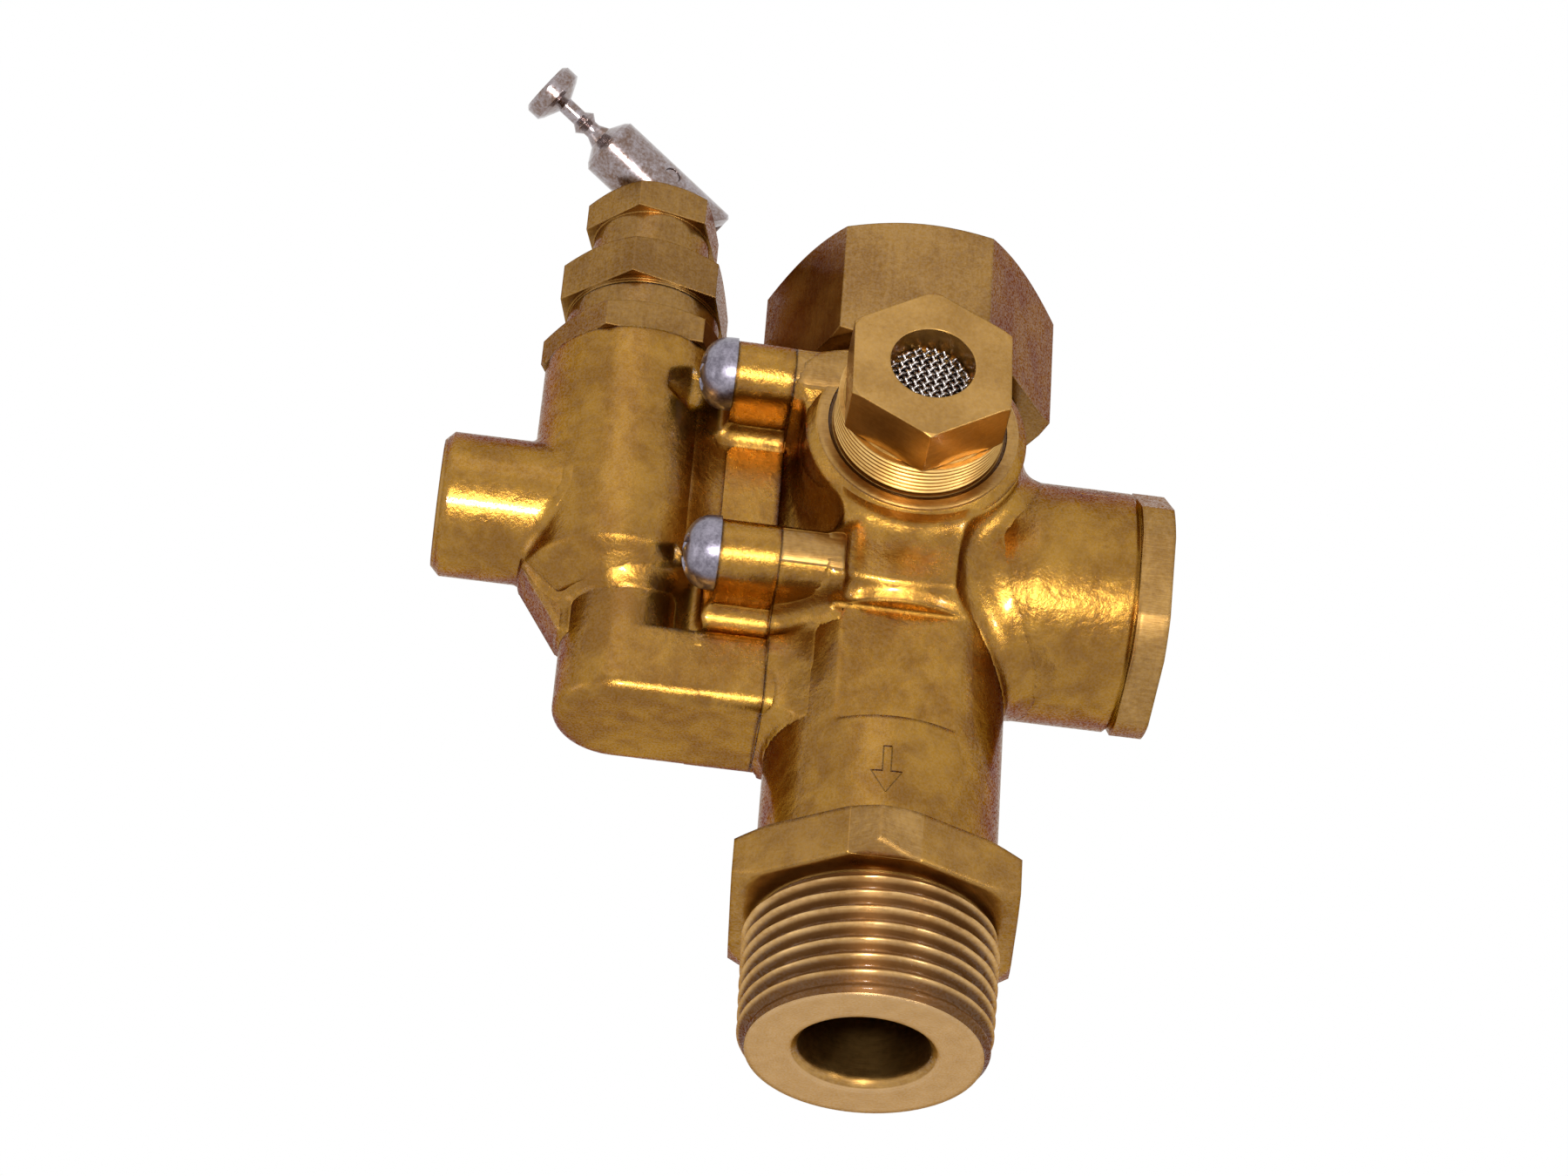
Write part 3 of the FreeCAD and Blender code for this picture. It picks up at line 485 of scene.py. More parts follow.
materials["zincSteel"] = steelMaterial("zincSteel", steel["zincLight"], steel["zincDark"],
                                       0.33, 0.35)
materials["leverSteel"] = steelMaterial("leverSteel", steel["leverLight"], steel["leverDark"],
                                        0.20, 0.25)
materials["springSteel"] = steelMaterial("springSteel", steel["springLight"],
                                         steel["springDark"], 0.30, 0.4)
materials["screenSteel"] = steelMaterial("screenSteel", steel["screenLight"],
                                         steel["screenDark"], 0.26, 0.3, edge=0.05)
materials["sealRubber"] = softMaterial("sealRubber", rgb(46, 44, 42), rgb(24, 23, 22),
                                       0.62, 2.5, 0.02)
materials["discPlastic"] = softMaterial("discPlastic", rgb(226, 220, 206),
                                        rgb(200, 190, 170), 0.45, 1.5, 0.01)
materials["gasketFibre"] = softMaterial("gasketFibre", rgb(150, 118, 84), rgb(108, 78, 50),
                                        0.75, 3.0, 0.03)
print("stage: steel, rubber and fibre made")

finishes = {
    "main_body": "mainForged", "pilot_body": "pilotForged", "top_cap": "barBrass",
    "cap_gasket": "gasketFibre", "guide_bush": "turnedBrass", "vent_seat": "turnedBrass",
    "unloader_piston": "turnedBrass", "piston_seal": "sealRubber",
    "unloader_stem": "leverSteel", "unloader_poppet": "sealRubber",
    "unloader_spring": "springSteel", "check_seat": "turnedBrass",
    "check_disc": "discPlastic", "check_spring": "springSteel",
    "check_retainer": "turnedBrass", "vent_plug": "plugBrass", "vent_screen": "screenSteel",
    "port_seals": "sealRubber", "pilot_screws": "zincSteel", "bonnet": "barBrass",
    "lock_nut": "barBrass", "adjusting_screw": "barBrass", "stem_seal": "sealRubber",
    "upper_spring_seat": "turnedBrass", "lower_spring_seat": "turnedBrass",
    "range_spring": "springSteel", "pilot_seat": "turnedBrass",
    "pilot_poppet": "sealRubber", "pilot_stem": "leverSteel", "toggle_lever": "leverSteel",
    "lever_pin": "leverSteel",
}
for node, finish in finishes.items():
    mesh = nodes[node].data
    mesh.materials.clear()
    mesh.materials.append(materials[finish])


# Surfaces worked out on a grid

def signedVolume(points, faces):
    corners = points[faces]
    cross = np.cross(corners[:, 1], corners[:, 2])
    return float((corners[:, 0] * cross).sum() / 6.0)


def gridFaces(rows, columns, wrapRows, wrapColumns):
    # Two triangles for each cell of a grid of points, joined at the wrapped sides
    row, column = np.meshgrid(np.arange(rows if wrapRows else rows - 1),
                              np.arange(columns if wrapColumns else columns - 1),
                              indexing="ij")
    nextRow, nextColumn = (row + 1) % rows, (column + 1) % columns
    a = (row * columns + column).ravel()
    b = (row * columns + nextColumn).ravel()
    c = (nextRow * columns + nextColumn).ravel()
    d = (nextRow * columns + column).ravel()
    return np.concatenate([np.stack([a, b, c], 1), np.stack([a, c, d], 1)])


def capFaces(ring, centre):
    following = np.roll(ring, -1)
    return np.stack([ring, following, np.full(len(ring), centre)], 1)


def newPiece(name, points, faces, material, body, smoothAngle=40.0):
    # Mesh object in millimetres given, metres kept, riding on a body
    if signedVolume(points, faces) < 0.0:
        faces = faces[:, ::-1]
    mesh = bpy.data.meshes.new(name)
    mesh.vertices.add(len(points))
    mesh.vertices.foreach_set("co", (points * mm).astype(np.float32).ravel())
    mesh.loops.add(faces.size)
    mesh.loops.foreach_set("vertex_index", faces.astype(np.int32).ravel())
    mesh.polygons.add(len(faces))
    mesh.polygons.foreach_set("loop_start", np.arange(0, faces.size, 3, dtype=np.int32))
    mesh.update(calc_edges=True)
    mesh.validate()
    mesh.polygons.foreach_set("use_smooth", np.ones(len(mesh.polygons), dtype=bool))
    mesh.set_sharp_from_angle(angle=math.radians(smoothAngle))
    mesh.materials.append(materials[material])
    piece = bpy.data.objects.new(name, mesh)
    bpy.context.scene.collection.objects.link(piece)
    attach(piece, body)
    return piece


def latheRing(name, profile, material, body, centre, axes, columns=192,
              ripple=None):
    # Closed ring turned about an axis: every (radius, height) of a closed profile goes
    # round the circle, and ripple adds to the radius by angle and height
    outline = np.array(profile, dtype=float)
    angle = np.arange(columns) * (2.0 * np.pi / columns)
    radius = np.repeat(outline[:, :1], columns, axis=1)
    height = np.repeat(outline[:, 1:], columns, axis=1)
    if ripple is not None:
        radius = radius + ripple(angle[None, :], height, radius)
    first, second, along = [np.array(axis, dtype=float) for axis in axes]
    points = (np.array(centre, dtype=float)
              + radius[..., None] * np.cos(angle)[None, :, None] * first
              + radius[..., None] * np.sin(angle)[None, :, None] * second
              + height[..., None] * along)
    faces = gridFaces(len(outline), columns, True, True)
    return newPiece(name, points.reshape(-1, 3), faces, material, body)


# Tapered pipe thread on the outlet

outletThread = {
    "pitch": 1.814,
    "start": 0.15,
    "end": 14.2,
    "hidden": 11.9,
    "root": 12.22,
    "crestLow": 13.05,
    "crestHigh": 13.42,
    "leadIn": 1.1,
    "runOut": 1.3,
    "rowsPerTurn": 18,
    "rootShare": 0.14,
    "flankShare": 0.76,
}


def threadWave(phase):
    # Ridge by share of a turn: 0 on the root's flat, a straight flank, 1 on the crest's flat
    saw = np.abs((phase % 1.0) - 0.5) * 2.0
    share = (1.0 - saw - outletThread["rootShare"]) / outletThread["flankShare"]
    return np.clip(share, 0.0, 1.0)


def makeOutletThread():
    # Ring whose radius is the root plus a ridge that climbs one pitch a turn, with crests
    # that widen evenly upwards, a lead-in below and a run-out above
    setting = outletThread
    length = setting["end"] - setting["start"]
    rows = int(length / setting["pitch"] * setting["rowsPerTurn"])
    heights = np.linspace(setting["start"], setting["end"], rows)
    outline = [(setting["hidden"], setting["start"])]
    outline += [(setting["root"], height) for height in heights]
    outline += [(setting["hidden"], setting["end"])]

    def ridge(angle, height, radius):
        share = (height - setting["start"]) / length
        crest = setting["crestLow"] + (setting["crestHigh"] - setting["crestLow"]) * share
        turn = height / setting["pitch"] - angle / (2.0 * np.pi)
        lead = np.clip((height - setting["start"]) / setting["leadIn"], 0.0, 1.0)
        fade = np.clip((setting["end"] - height) / setting["runOut"], 0.0, 1.0)
        rise = (crest - setting["root"]) * threadWave(turn) * lead * np.sqrt(fade)
        return np.where(radius > setting["root"] - 0.05, rise, 0.0)

    return latheRing("outlet_thread", outline, "threadBrass", "housing",
                     (0, 0, 0), ((1, 0, 0), (0, 1, 0), (0, 0, 1)), ripple=ridge)


makeOutletThread()


# Turned collar of the vent plug

plugCollar = {
    "height": 68.9,
    "inner": 8.3,
    "outer": 9.2,
    "back": 15.15,
    "front": 19.7,
    "grooves": 7,
    "grooveDepth": 0.26,
    "rowsPerGroove": 6,
    "bevel": 0.3,
}


def makePlugCollar():
    # Ring whose radius is the outer one less the cube of a raised cosine along its axis
    setting = plugCollar
    back, front = setting["back"], setting["front"]
    outline = [(setting["inner"], back), (setting["outer"] - setting["bevel"], back)]
    rows = setting["grooves"] * setting["rowsPerGroove"] + 1
    spread = np.linspace(back + setting["bevel"], front, rows)
    share = (spread - spread[0]) / (spread[-1] - spread[0])
    dip = (0.5 - 0.5 * np.cos(share * 2.0 * np.pi * setting["grooves"])) ** 3
    outline += list(zip(setting["outer"] - setting["grooveDepth"] * dip, spread))
    outline += [(setting["inner"], front)]
    # Its brass is a lighter copy of the plug's: painted light
    return latheRing("plug_collar", outline, "collarBrassPaintedLight", "housing",
                     (0, 0, setting["height"]), ((1, 0, 0), (0, 0, 1), (0, -1, 0)))


makePlugCollar()
print("stage: threads made")


# Woven wire screen in the plug's mouth

screen = {
    "radius": 4.45,
    "height": 68.9,
    "face": 22.85,
    "pitch": 0.70,
    "wire": 0.18,
    "lift": 0.17,
    "turn": 33.0,
    "samples": 72,
    "sides": 6,
}


def makeScreen():
    # Wires in two directions, each a tube whose centre goes over and under the others as
    # the cosine of its length over the pitch, and whose ends lie on a circle
    setting = screen
    count = int(setting["radius"] / setting["pitch"])
    offsets = np.arange(-count, count + 1) * setting["pitch"]
    half = np.sqrt(setting["radius"] ** 2 - offsets ** 2)
    along = np.linspace(-1.0, 1.0, setting["samples"])[None, :] * half[:, None]
    spoke = np.arange(setting["sides"]) * 2.0 * np.pi / setting["sides"]
    turn = math.radians(setting["turn"])
    allPoints, allFaces, start = [], [], 0
    for direction in (0, 1):
        parity = (np.arange(len(offsets)) + direction) % 2
        wave = setting["lift"] * np.cos(np.pi * along / setting["pitch"]
                                        + np.pi * parity[:, None])
        side = offsets[:, None, None] + setting["wire"] * np.cos(spoke)[None, None, :]
        depth = wave[:, :, None] + setting["wire"] * np.sin(spoke)[None, None, :]
        run = np.repeat(along[:, :, None], setting["sides"], axis=2)
        side = np.broadcast_to(side, run.shape)
        u, v = (run, side) if direction == 0 else (side, run)
        x = u * math.cos(turn) - v * math.sin(turn)
        z = u * math.sin(turn) + v * math.cos(turn) + setting["height"]
        points = np.stack([x, -setting["face"] - depth, z], -1)
        faces = gridFaces(setting["samples"], setting["sides"], False, True)
        for wire in range(len(offsets)):
            ring = np.arange(setting["sides"])
            last = ring + (setting["samples"] - 1) * setting["sides"]
            ends = len(points[wire].reshape(-1, 3))
            centres = points[wire][[0, -1]].mean(axis=1)
            closing = np.concatenate([capFaces(ring[::-1], ends), capFaces(last, ends + 1)])
            allPoints.append(np.concatenate([points[wire].reshape(-1, 3), centres]))
            allFaces.append(np.concatenate([faces, closing]) + start)
            start += ends + 2
    return newPiece("woven_screen", np.concatenate(allPoints), np.concatenate(allFaces),
                    "screenSteel", "housing", 60.0)


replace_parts(makeScreen(), "vent_screen")
print("stage: screen woven")


# Domed screws with crossed recesses

screws = {
    "offset": 11.8,
    "heights": (75.3, 51.3),
    "seatX": -20.0,
    "headRadius": 4.0,
    "rim": 0.8,
    "dome": 3.0,
    "shankRadius": 1.97,
    "shankLength": 11.0,
    "recessHalf": 0.48,
    "recessReach": 2.1,
    "recessDepth": 1.8,
    "recessWall": 0.3,
    "recessFade": 1.25,
    "domePower": 2.4,
    "centre": 0.05,
    "firstTurn": 0.5,
    "nextTurn": 0.7,
    "rows": 44,
    "columns": 96,
}


def makeScrew(y, z, turn):
    # Head: height by radius is the rim plus the dome times the root of 1 less the radius
    # share to a power, less a crossed recess with sloped walls; the rim and the shank go
    # on as rings of the same grid
    setting = screws
    radius = np.linspace(setting["centre"], setting["headRadius"], setting["rows"])
    angle = np.arange(setting["columns"]) * 2.0 * np.pi / setting["columns"]
    share = radius / setting["headRadius"]
    fall = np.clip(1.0 - share ** setting["domePower"], 0.0, 1.0)
    dome = setting["rim"] + setting["dome"] * np.sqrt(fall)
    u = radius[:, None] * np.cos(angle + turn)[None, :]
    v = radius[:, None] * np.sin(angle + turn)[None, :]
    arm = np.minimum(np.maximum(np.abs(u) / setting["recessReach"],
                                np.abs(v) / setting["recessHalf"]),
                     np.maximum(np.abs(v) / setting["recessReach"],
                                np.abs(u) / setting["recessHalf"]))
    wall = setting["recessWall"]
    dip = setting["recessDepth"] * np.clip((1.0 + wall / 2.0 - arm) / wall, 0.0, 1.0)
    height = dome[:, None] - dip * np.clip(setting["recessFade"] - share, 0.0, 1.0)[:, None]
    rings = [np.stack([-height, u, v], -1)]
    for ringRadius, ringHeight in ((setting["headRadius"], 0.0),
                                   (setting["shankRadius"], 0.0),
                                   (setting["shankRadius"], -setting["shankLength"])):
        ring = np.stack([np.full(setting["columns"], -ringHeight),
                         ringRadius * np.cos(angle + turn),
                         ringRadius * np.sin(angle + turn)], -1)
        rings.append(ring[None])
    grid = np.concatenate(rings)
    faces = gridFaces(len(grid), setting["columns"], False, True)
    points = grid.reshape(-1, 3)
    ring = np.arange(setting["columns"])
    last = ring + (len(grid) - 1) * setting["columns"]
    centres = np.stack([grid[0].mean(axis=0), grid[-1].mean(axis=0)])
    closing = np.concatenate([capFaces(ring[::-1], len(points)),
                              capFaces(last, len(points) + 1)])
    points = np.concatenate([points, centres]) + np.array([setting["seatX"], y, z])
    return points, np.concatenate([faces, closing])


def makeScrews():
    # Four screws in one piece, each turned a little further than the last
    allPoints, allFaces, start = [], [], 0
    places = [(side * screws["offset"], height) for side in (-1, 1)
              for height in screws["heights"]]
    for index, (y, z) in enumerate(places):
        turn = screws["firstTurn"] + screws["nextTurn"] * index
        points, faces = makeScrew(y, z, turn)
        allPoints.append(points)
        allFaces.append(faces + start)
        start += len(points)
    return newPiece("domed_screws", np.concatenate(allPoints), np.concatenate(allFaces),
                    "zincSteel", "housing", 50.0)


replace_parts(makeScrews(), "pilot_screws")
print("stage: screws made")


# Fillets of the forgings: beads in the inner corners, where a soft union of plain
# forms stands out from their sharp union

forging = {
    "spacing": 0.30,
    "tuck": 0.05,
    "thickness": 0.7,
    "rise": 0.025,
    "seam": brass["seamX"],
    "overlap": 0.2,
    "top": 81.6,
    "flangeX": -20.0,
    "rootX": -9.0,
    "webTop": 79.6,
    "lugRadius": 3.7,
    "firstBlend": 0.1,
}

mainShape = {
    "barrelRadius": 12.6,
    "barrelStart": 14.0,
    "inletHeight": 58.4,
    "inletEnd": 24.4,
    "inletProfile": ([0.0, 7.5, 11.5, 14.0, 24.4], [7.8, 10.8, 12.5, 13.1, 13.1]),
    "ventHeight": 68.9,
    "ventRadius": 12.0,
    "ventEnd": 13.8,
    "pad": ((-6.6, 5.0), (-13.2, 0.0), (49.8, 59.8)),
    "webHalf": 4.6,
    "webFloor": 51.3,
    "lowHalf": 6.2,
    "lowFloor": 43.4,
    "blockHalf": 7.1,
    "block": (36.0, 44.4),
    "lugEnd": -7.0,
    "blends": {"inlet": 4.4, "vent": 3.4, "pad": 3.4, "web": 3.4, "low": 3.4, "block": 2.6,
               "lugs": 3.0},
}

pilotShape = {
    "columnX": -30.1,
    "columnRadius": 10.3,
    "columnFloor": 49.9,
    "floorRadius": 7.0,
    "portHeight": 61.9,
    "portRadius": 7.9,
    "portEnd": 49.2,
    "webHalf": 6.2,
    "webX": -20.6,
    "webFloor": 43.4,
    "plateFloor": 53.2,
    "footX": -28.4,
    "footRadius": 7.0,
    "foot": (37.0, 53.2),
    "block": (36.4, 44.4),
    "highHalf": 4.4,
    "gusset": ((-40.2, -28.4), (-2.5, 2.5), (45.6, 55.0)),
    "gussetToe": -35.7,
    "gussetSlope": (0.86, 0.5),
    "blends": {"port": 1.0, "web": 2.6, "foot": 1.8, "high": 1.4, "gusset": 1.4,
               "lugs": 2.6},
}


def softUnion(first, second, blend):
    # Smaller of two distances, less a parabola in their difference where that is within
    # the blend
    share = np.clip(0.5 + 0.5 * (second - first) / blend, 0.0, 1.0)
    return second * (1.0 - share) + first * share - blend * share * (1.0 - share)


def roundForm(first, second, along, radius, start, end):
    # Distance to a cylinder: the largest of the distances past its wall and its two ends,
    # from the two coordinates across it and the one along it
    return np.maximum(np.sqrt(first ** 2 + second ** 2) - radius,
                      np.maximum(start - along, along - end))


def boxForm(x, y, z, xLimits, yLimits, zLimits):
    # Distance to a box: the largest of the distances past its six sides
    sides = [np.maximum(limits[0] - value, value - limits[1])
             for value, limits in ((x, xLimits), (y, yLimits), (z, zLimits))]
    return np.maximum(np.maximum(sides[0], sides[1]), sides[2])


def lugForms(x, y, z, start, end):
    # Four screw lugs, each a rod with a rib that ties it to the middle
    forms = None
    radius = forging["lugRadius"]
    for side in (-1, 1):
        offset = side * screws["offset"]
        for height in screws["heights"]:
            rod = roundForm(y - offset, z - height, x, radius, start, end)
            rib = boxForm(x, y, z, (start, end), sorted((0.0, offset)),
                          (height - radius, height + radius))
            lug = np.minimum(rod, rib)
            forms = lug if forms is None else np.minimum(forms, lug)
    return forms


def mainForms(x, y, z):
    # Forms of the main body's forging, as distances in millimetres
    shape = mainShape
    rootX, flange, end = forging["rootX"], forging["flangeX"], shape["inletEnd"]
    across = z - shape["inletHeight"]
    wall = np.sqrt(y ** 2 + across ** 2) - np.interp(x, *shape["inletProfile"])
    half, low, block = shape["webHalf"], shape["lowHalf"], shape["blockHalf"]
    forms = {
        "inlet": np.maximum(wall, np.maximum(-x, x - end)),
        "vent": roundForm(x, z - shape["ventHeight"], -y, shape["ventRadius"], 0.0,
                          shape["ventEnd"]),
        "pad": boxForm(x, y, z, *shape["pad"]),
        "web": boxForm(x, y, z, (flange, rootX), (-half, half),
                       (shape["webFloor"], forging["webTop"])),
        "low": boxForm(x, y, z, (flange, rootX), (-low, low),
                       (shape["lowFloor"], shape["webFloor"])),
        "block": boxForm(x, y, z, (flange, rootX), (-block, block), shape["block"]),
        "lugs": lugForms(x, y, z, flange, shape["lugEnd"]),
    }
    barrel = roundForm(x, y, z, shape["barrelRadius"], shape["barrelStart"], forging["top"])
    return ([(barrel, forging["firstBlend"])]
            + [(form, shape["blends"][name]) for name, form in forms.items()])


def pilotForms(x, y, z):
    # Forms of the pilot body's forging: the column's lower end is a 45 degree cone
    shape = pilotShape
    rootX, flange, floor = forging["rootX"], forging["flangeX"], shape["columnFloor"]
    radius = np.sqrt((x - shape["columnX"]) ** 2 + y ** 2)
    cone = (radius - shape["floorRadius"] - (z - floor)) * 0.707
    column = np.maximum(np.maximum(radius - shape["columnRadius"], cone),
                        np.maximum(floor - z, z - forging["top"]))
    half, high, footX = shape["webHalf"], shape["highHalf"], shape["footX"]
    plate = boxForm(x, y, z, (shape["columnX"], rootX), (-half, half),
                    (shape["plateFloor"], forging["webTop"]))
    web = boxForm(x, y, z, (shape["webX"], rootX), (-half, half),
                  (shape["webFloor"], forging["webTop"]))
    foot = roundForm(x - footX, y, z, shape["footRadius"], *shape["foot"])
    block = boxForm(x, y, z, (footX, rootX), (-shape["footRadius"], shape["footRadius"]),
                    shape["block"])
    acrossShare, upShare = shape["gussetSlope"]
    slant = (acrossShare * (shape["gussetToe"] - x)
             - upShare * (z - shape["gusset"][2][0]))
    forms = {
        "port": roundForm(y, z - shape["portHeight"], -x, shape["portRadius"],
                          -shape["columnX"], shape["portEnd"]),
        "web": np.minimum(plate, web),
        "foot": np.minimum(foot, block),
        "high": boxForm(x, y, z, (footX, rootX), (-high, high),
                        (shape["webFloor"], shape["plateFloor"])),
        "gusset": np.maximum(boxForm(x, y, z, *shape["gusset"]), slant),
        "lugs": lugForms(x, y, z, flange, rootX),
    }
    return ([(column, forging["firstBlend"])]
            + [(form, shape["blends"][name]) for name, form in forms.items()])


def surfaceNet(field, origin, spacing):
    # Closed surface where the field changes sign: one point in each cell that it crosses,
    # the mean of its crossings on the cell's edges, and a face round each crossed grid edge
    inside = field < 0.0
    counts = np.array(field.shape) - 1
    total = np.zeros(tuple(counts) + (3,))
    hits = np.zeros(tuple(counts))
    corners = [(i, j, k) for i in (0, 1) for j in (0, 1) for k in (0, 1)]

    def cornerValues(array, corner):
        return array[corner[0]:corner[0] + counts[0], corner[1]:corner[1] + counts[1],
                     corner[2]:corner[2] + counts[2]]

    for first in corners:
        for axis in range(3):
            if first[axis] == 1:
                continue
            second = tuple(first[i] + (1 if i == axis else 0) for i in range(3))
            here, there = cornerValues(field, first), cornerValues(field, second)
            crossed = cornerValues(inside, first) != cornerValues(inside, second)
            share = np.where(crossed, here / np.where(crossed, here - there, 1.0), 0.0)
            for i in range(3):
                place = first[i] + (share if i == axis else 0.0)
                total[..., i] += np.where(crossed, place, 0.0)
            hits += crossed
    used = hits > 0
    index = np.full(tuple(counts), -1)
    index[used] = np.arange(int(used.sum()))
    cells = np.stack(np.nonzero(used), -1)
    points = origin + (cells + total[used] / hits[used][:, None]) * spacing
    faces = []
    for axis in range(3):
        after = [slice(1, counts[i]) for i in range(3)]
        here, there = list(after), list(after)
        here[axis], there[axis] = slice(0, counts[axis]), slice(1, counts[axis] + 1)
        crossed = inside[tuple(here)] != inside[tuple(there)]
        cell = np.stack(np.nonzero(crossed), -1)
        u, v = (axis + 1) % 3, (axis + 2) % 3
        ring = []
        for stepU, stepV in ((0, 0), (1, 0), (1, 1), (0, 1)):
            near = cell.copy()
            near[:, u] += stepU
            near[:, v] += stepV
            ring.append(index[near[:, 0], near[:, 1], near[:, 2]])
        quad = np.stack(ring, 1)
        start = inside[tuple(here)][crossed]
        quad = np.where(start[:, None], quad, quad[:, ::-1])
        faces.append(quad)
    quads = np.concatenate(faces)
    return points, np.concatenate([quads[:, [0, 1, 2]], quads[:, [0, 2, 3]]])


def makeFillets(name, formsOf, room, cutsOf, material, keepRight):
    # Beads where the soft union rises over the sharp one: the soft one less the sharp one
    # sunk by the thickness, only where the rise is enough, on one side of the seam
    spacing, (low, high) = forging["spacing"], room
    axes = [np.arange(low[i], high[i], spacing) for i in range(3)]
    x, y, z = np.meshgrid(*axes, indexing="ij")
    sharp, soft = None, None
    for form, blend in formsOf(x, y, z):
        form = form + forging["tuck"]
        sharp = form if sharp is None else np.minimum(sharp, form)
        soft = form if soft is None else softUnion(soft, form, blend)
    field = np.maximum(soft, -(sharp + forging["thickness"]))
    field = np.maximum(field, forging["rise"] - (sharp - soft))
    side = forging["seam"] - x if keepRight else x - forging["seam"]
    side = side - forging["overlap"]
    field = np.maximum(field, side)
    for cut in cutsOf(x, y, z):
        field = np.maximum(field, -cut)
    points, faces = surfaceNet(field, np.array(low, dtype=float), spacing)
    print("stage:", name, len(faces), "triangles")
    return newPiece(name, points, faces, material, "housing", 50.0)


fillets = {
    "capFloor": 81.2,
    "capTop": 90.0,
    "reach": 30.0,
    "collarTop": 21.0,
    "flat": ((-7.5, 7.5), (-13.6, -10.85), (33.0, 47.5)),
    "headX": 19.99,
    "headTip": ([20.0, 24.4, 27.0], [4.35, 4.35, 2.4]),
    "mainRoom": ((-14.2, -17.0, 30.0), (25.5, 17.0, 82.5)),
    "pilotRoom": ((-46.0, -17.0, 34.5), (-13.2, 17.0, 82.5)),
}


def mainCuts(x, y, z):
    # Rooms that the main body's beads keep clear of: the flat, the cap and the hexagon
    sides = (-fillets["reach"], fillets["reach"])
    return [boxForm(x, y, z, *fillets["flat"]),
            boxForm(x, y, z, sides, sides, (fillets["capFloor"], fillets["capTop"])),
            boxForm(x, y, z, sides, sides, (0.0, fillets["collarTop"]))]


def pilotCuts(x, y, z):
    # Rooms round the screw heads, which narrow to a tip, and the bonnet's seat
    reach, (places, radii) = fillets["reach"], fillets["headTip"]
    rooms = [boxForm(x, y, z, (-2.0 * reach, 0.0), (-reach, reach),
                     (fillets["capFloor"], fillets["capTop"]))]
    for side in (-1, 1):
        for height in screws["heights"]:
            across = y - side * screws["offset"]
            wall = np.sqrt(across ** 2 + (z - height) ** 2) - np.interp(-x, places, radii)
            ends = np.maximum(x + fillets["headX"], -places[-1] - x)
            rooms.append(np.maximum(wall, ends))
    return rooms


makeFillets("main_fillets", mainForms, fillets["mainRoom"], mainCuts, "mainForged", True)
makeFillets("pilot_fillets", pilotForms, fillets["pilotRoom"], pilotCuts, "pilotForged",
            False)
print("stage: forgings filleted")


# Camera at the photograph's angle: it looks up at the valve from below its left front

camera = {
    "target": (-11.88, 0.0, 56.28),
    "azimuth": -4.21,
    "elevation": -35.34,
    "roll": 4.62,
    "distance": 474.36,
    "focalPixels": 5023.0,
    "framePixels": 1800.0,
    "sensor": 36.0,
    "clip": (0.01, 20.0),
}


def makeCamera():
    # Camera on a sphere about its target, rolled about its own axis; gives its three axes
    azimuth, elevation, roll = [math.radians(camera[key])
                                for key in ("azimuth", "elevation", "roll")]
    back = Vector((math.sin(azimuth) * math.cos(elevation),
                   -math.cos(azimuth) * math.cos(elevation), math.sin(elevation)))
    right = Vector((math.cos(azimuth), math.sin(azimuth), 0.0))
    up = back.cross(right)
    rolledRight = right * math.cos(roll) + up * math.sin(roll)
    rolledUp = up * math.cos(roll) - right * math.sin(roll)
    data = bpy.data.cameras.new("photoCamera")
    data.sensor_width = camera["sensor"]
    data.lens = camera["focalPixels"] / camera["framePixels"] * camera["sensor"]
    data.clip_start, data.clip_end = camera["clip"]
    item = bpy.data.objects.new("photoCamera", data)
    bpy.context.scene.collection.objects.link(item)
    turn = Matrix((rolledRight, rolledUp, back)).transposed()
    place = (Vector(camera["target"]) + back * camera["distance"]) * mm
    item.matrix_world = Matrix.Translation(place) @ turn.to_4x4()
    bpy.context.scene.camera = item
    return back, rolledRight, rolledUp


viewBack, viewRight, viewUp = makeCamera()


# Floor, world and lamps

studio = {
    "floorRadius": 0.9,
    "floorGap": 0.0004,
    "floorClear": 0.15,
    "floorDark": (0.86, 0.86, 0.86, 1.0),
    "floorLight": (0.90, 0.90, 0.90, 1.0),
    "floorGrain": 40.0,
    "worldStrength": 0.55,
    "lamps": [
        # right, up and back of the object in metres, size, watts
        ("keyLamp", (0.00, 0.07, 0.60), 0.05, 2.6),
        ("rightLamp", (0.42, 0.10, 0.44), 0.08, 0.9),
        ("topLamp", (-0.05, 0.60, 0.20), 0.30, 0.15),
        ("leftLamp", (-0.60, 0.05, 0.25), 0.20, 0.2),
    ],
}


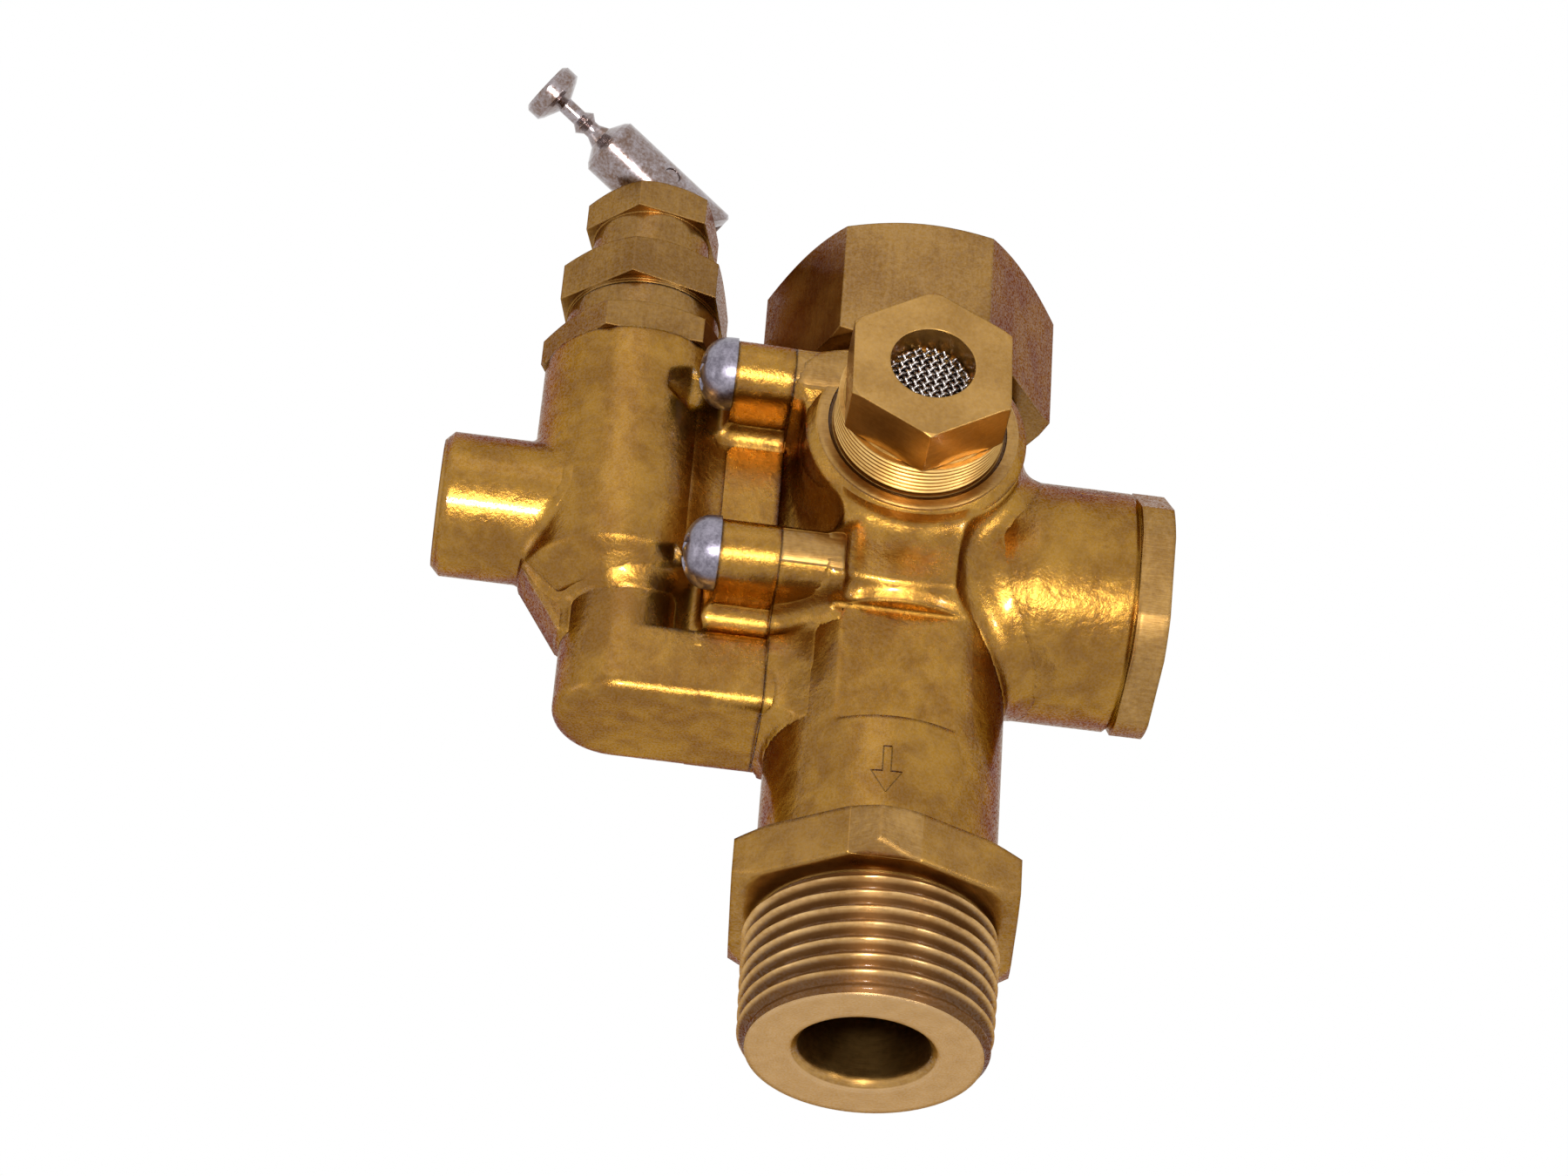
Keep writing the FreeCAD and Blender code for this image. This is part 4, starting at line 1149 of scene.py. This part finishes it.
def makeFloor():
    # Pale disc that the camera sees only from above and that fades out towards its rim
    columns = 96
    angle = np.arange(columns) * 2.0 * np.pi / columns
    radius = studio["floorRadius"]
    points = np.stack([radius * np.cos(angle), radius * np.sin(angle),
                       np.full(columns, -studio["floorGap"])], -1)
    mesh = bpy.data.meshes.new("paleFloor")
    mesh.from_pydata(points.tolist(), [], [list(range(columns))])
    material = bpy.data.materials.new("paleFloor")
    material.use_nodes = True
    tree = material.node_tree
    tree.nodes.clear()
    kit = Wire(tree, None)
    output = tree.nodes.new("ShaderNodeOutputMaterial")
    place = kit.make("ShaderNodeTexCoord", {}, {}, 3)
    x, y, z = place.parts()
    reach = (x * x + y * y).root()
    grain = kit.make("ShaderNodeTexNoise", {},
                     {"Vector": place, "Scale": studio["floorGrain"]})
    colour = grain.blend(studio["floorDark"], studio["floorLight"])
    shade = kit.make("ShaderNodeBsdfDiffuse", {}, {"Color": colour})
    clear = kit.make("ShaderNodeBsdfTransparent")
    path = kit.make("ShaderNodeLightPath")
    facing = kit.make("ShaderNodeNewGeometry", {}, {}, 6)
    seen = path * (1.0 - facing) * (1.0 - reach.step(studio["floorClear"], radius * 0.9))
    mixed = kit.make("ShaderNodeMixShader", {}, {0: seen, 1: clear, 2: shade})
    tree.links.new(mixed.socket, output.inputs[0])
    mesh.materials.append(material)
    floor = bpy.data.objects.new("paleFloor", mesh)
    bpy.context.scene.collection.objects.link(floor)


def makeWorld():
    # White to the camera and in the metal, softer as a lamp
    world = bpy.data.worlds.new("paleRoom")
    bpy.context.scene.world = world
    world.use_nodes = True
    tree = world.node_tree
    tree.nodes.clear()
    kit = Wire(tree, None)
    output = tree.nodes.new("ShaderNodeOutputWorld")
    path = kit.make("ShaderNodeLightPath")
    outputs = path.socket.node.outputs
    seen = path
    for name in ("Is Glossy Ray", "Is Transmission Ray"):
        seen = seen.largest(Wire(tree, outputs[name]))
    strength = seen * (1.0 - studio["worldStrength"]) + studio["worldStrength"]
    light = kit.make("ShaderNodeBackground", {}, {"Color": (1.0, 1.0, 1.0, 1.0),
                                                  "Strength": strength})
    tree.links.new(light.socket, output.inputs[0])


def makeLamps():
    # Square lamps placed along the camera's axes, each turned to the object
    centre = Vector(camera["target"]) * mm
    for name, (right, up, back), size, watts in studio["lamps"]:
        data = bpy.data.lights.new(name, "AREA")
        data.shape = "SQUARE"
        data.size = size
        data.energy = watts
        lamp = bpy.data.objects.new(name, data)
        bpy.context.scene.collection.objects.link(lamp)
        place = centre + viewRight * right + viewUp * up + viewBack * back
        lamp.location = place
        lamp.rotation_mode = "QUATERNION"
        lamp.rotation_quaternion = (place - centre).to_track_quat("Z", "Y")


makeFloor()
makeWorld()
makeLamps()
bpy.context.scene.view_settings.view_transform = "Standard"
print("stage: studio made")
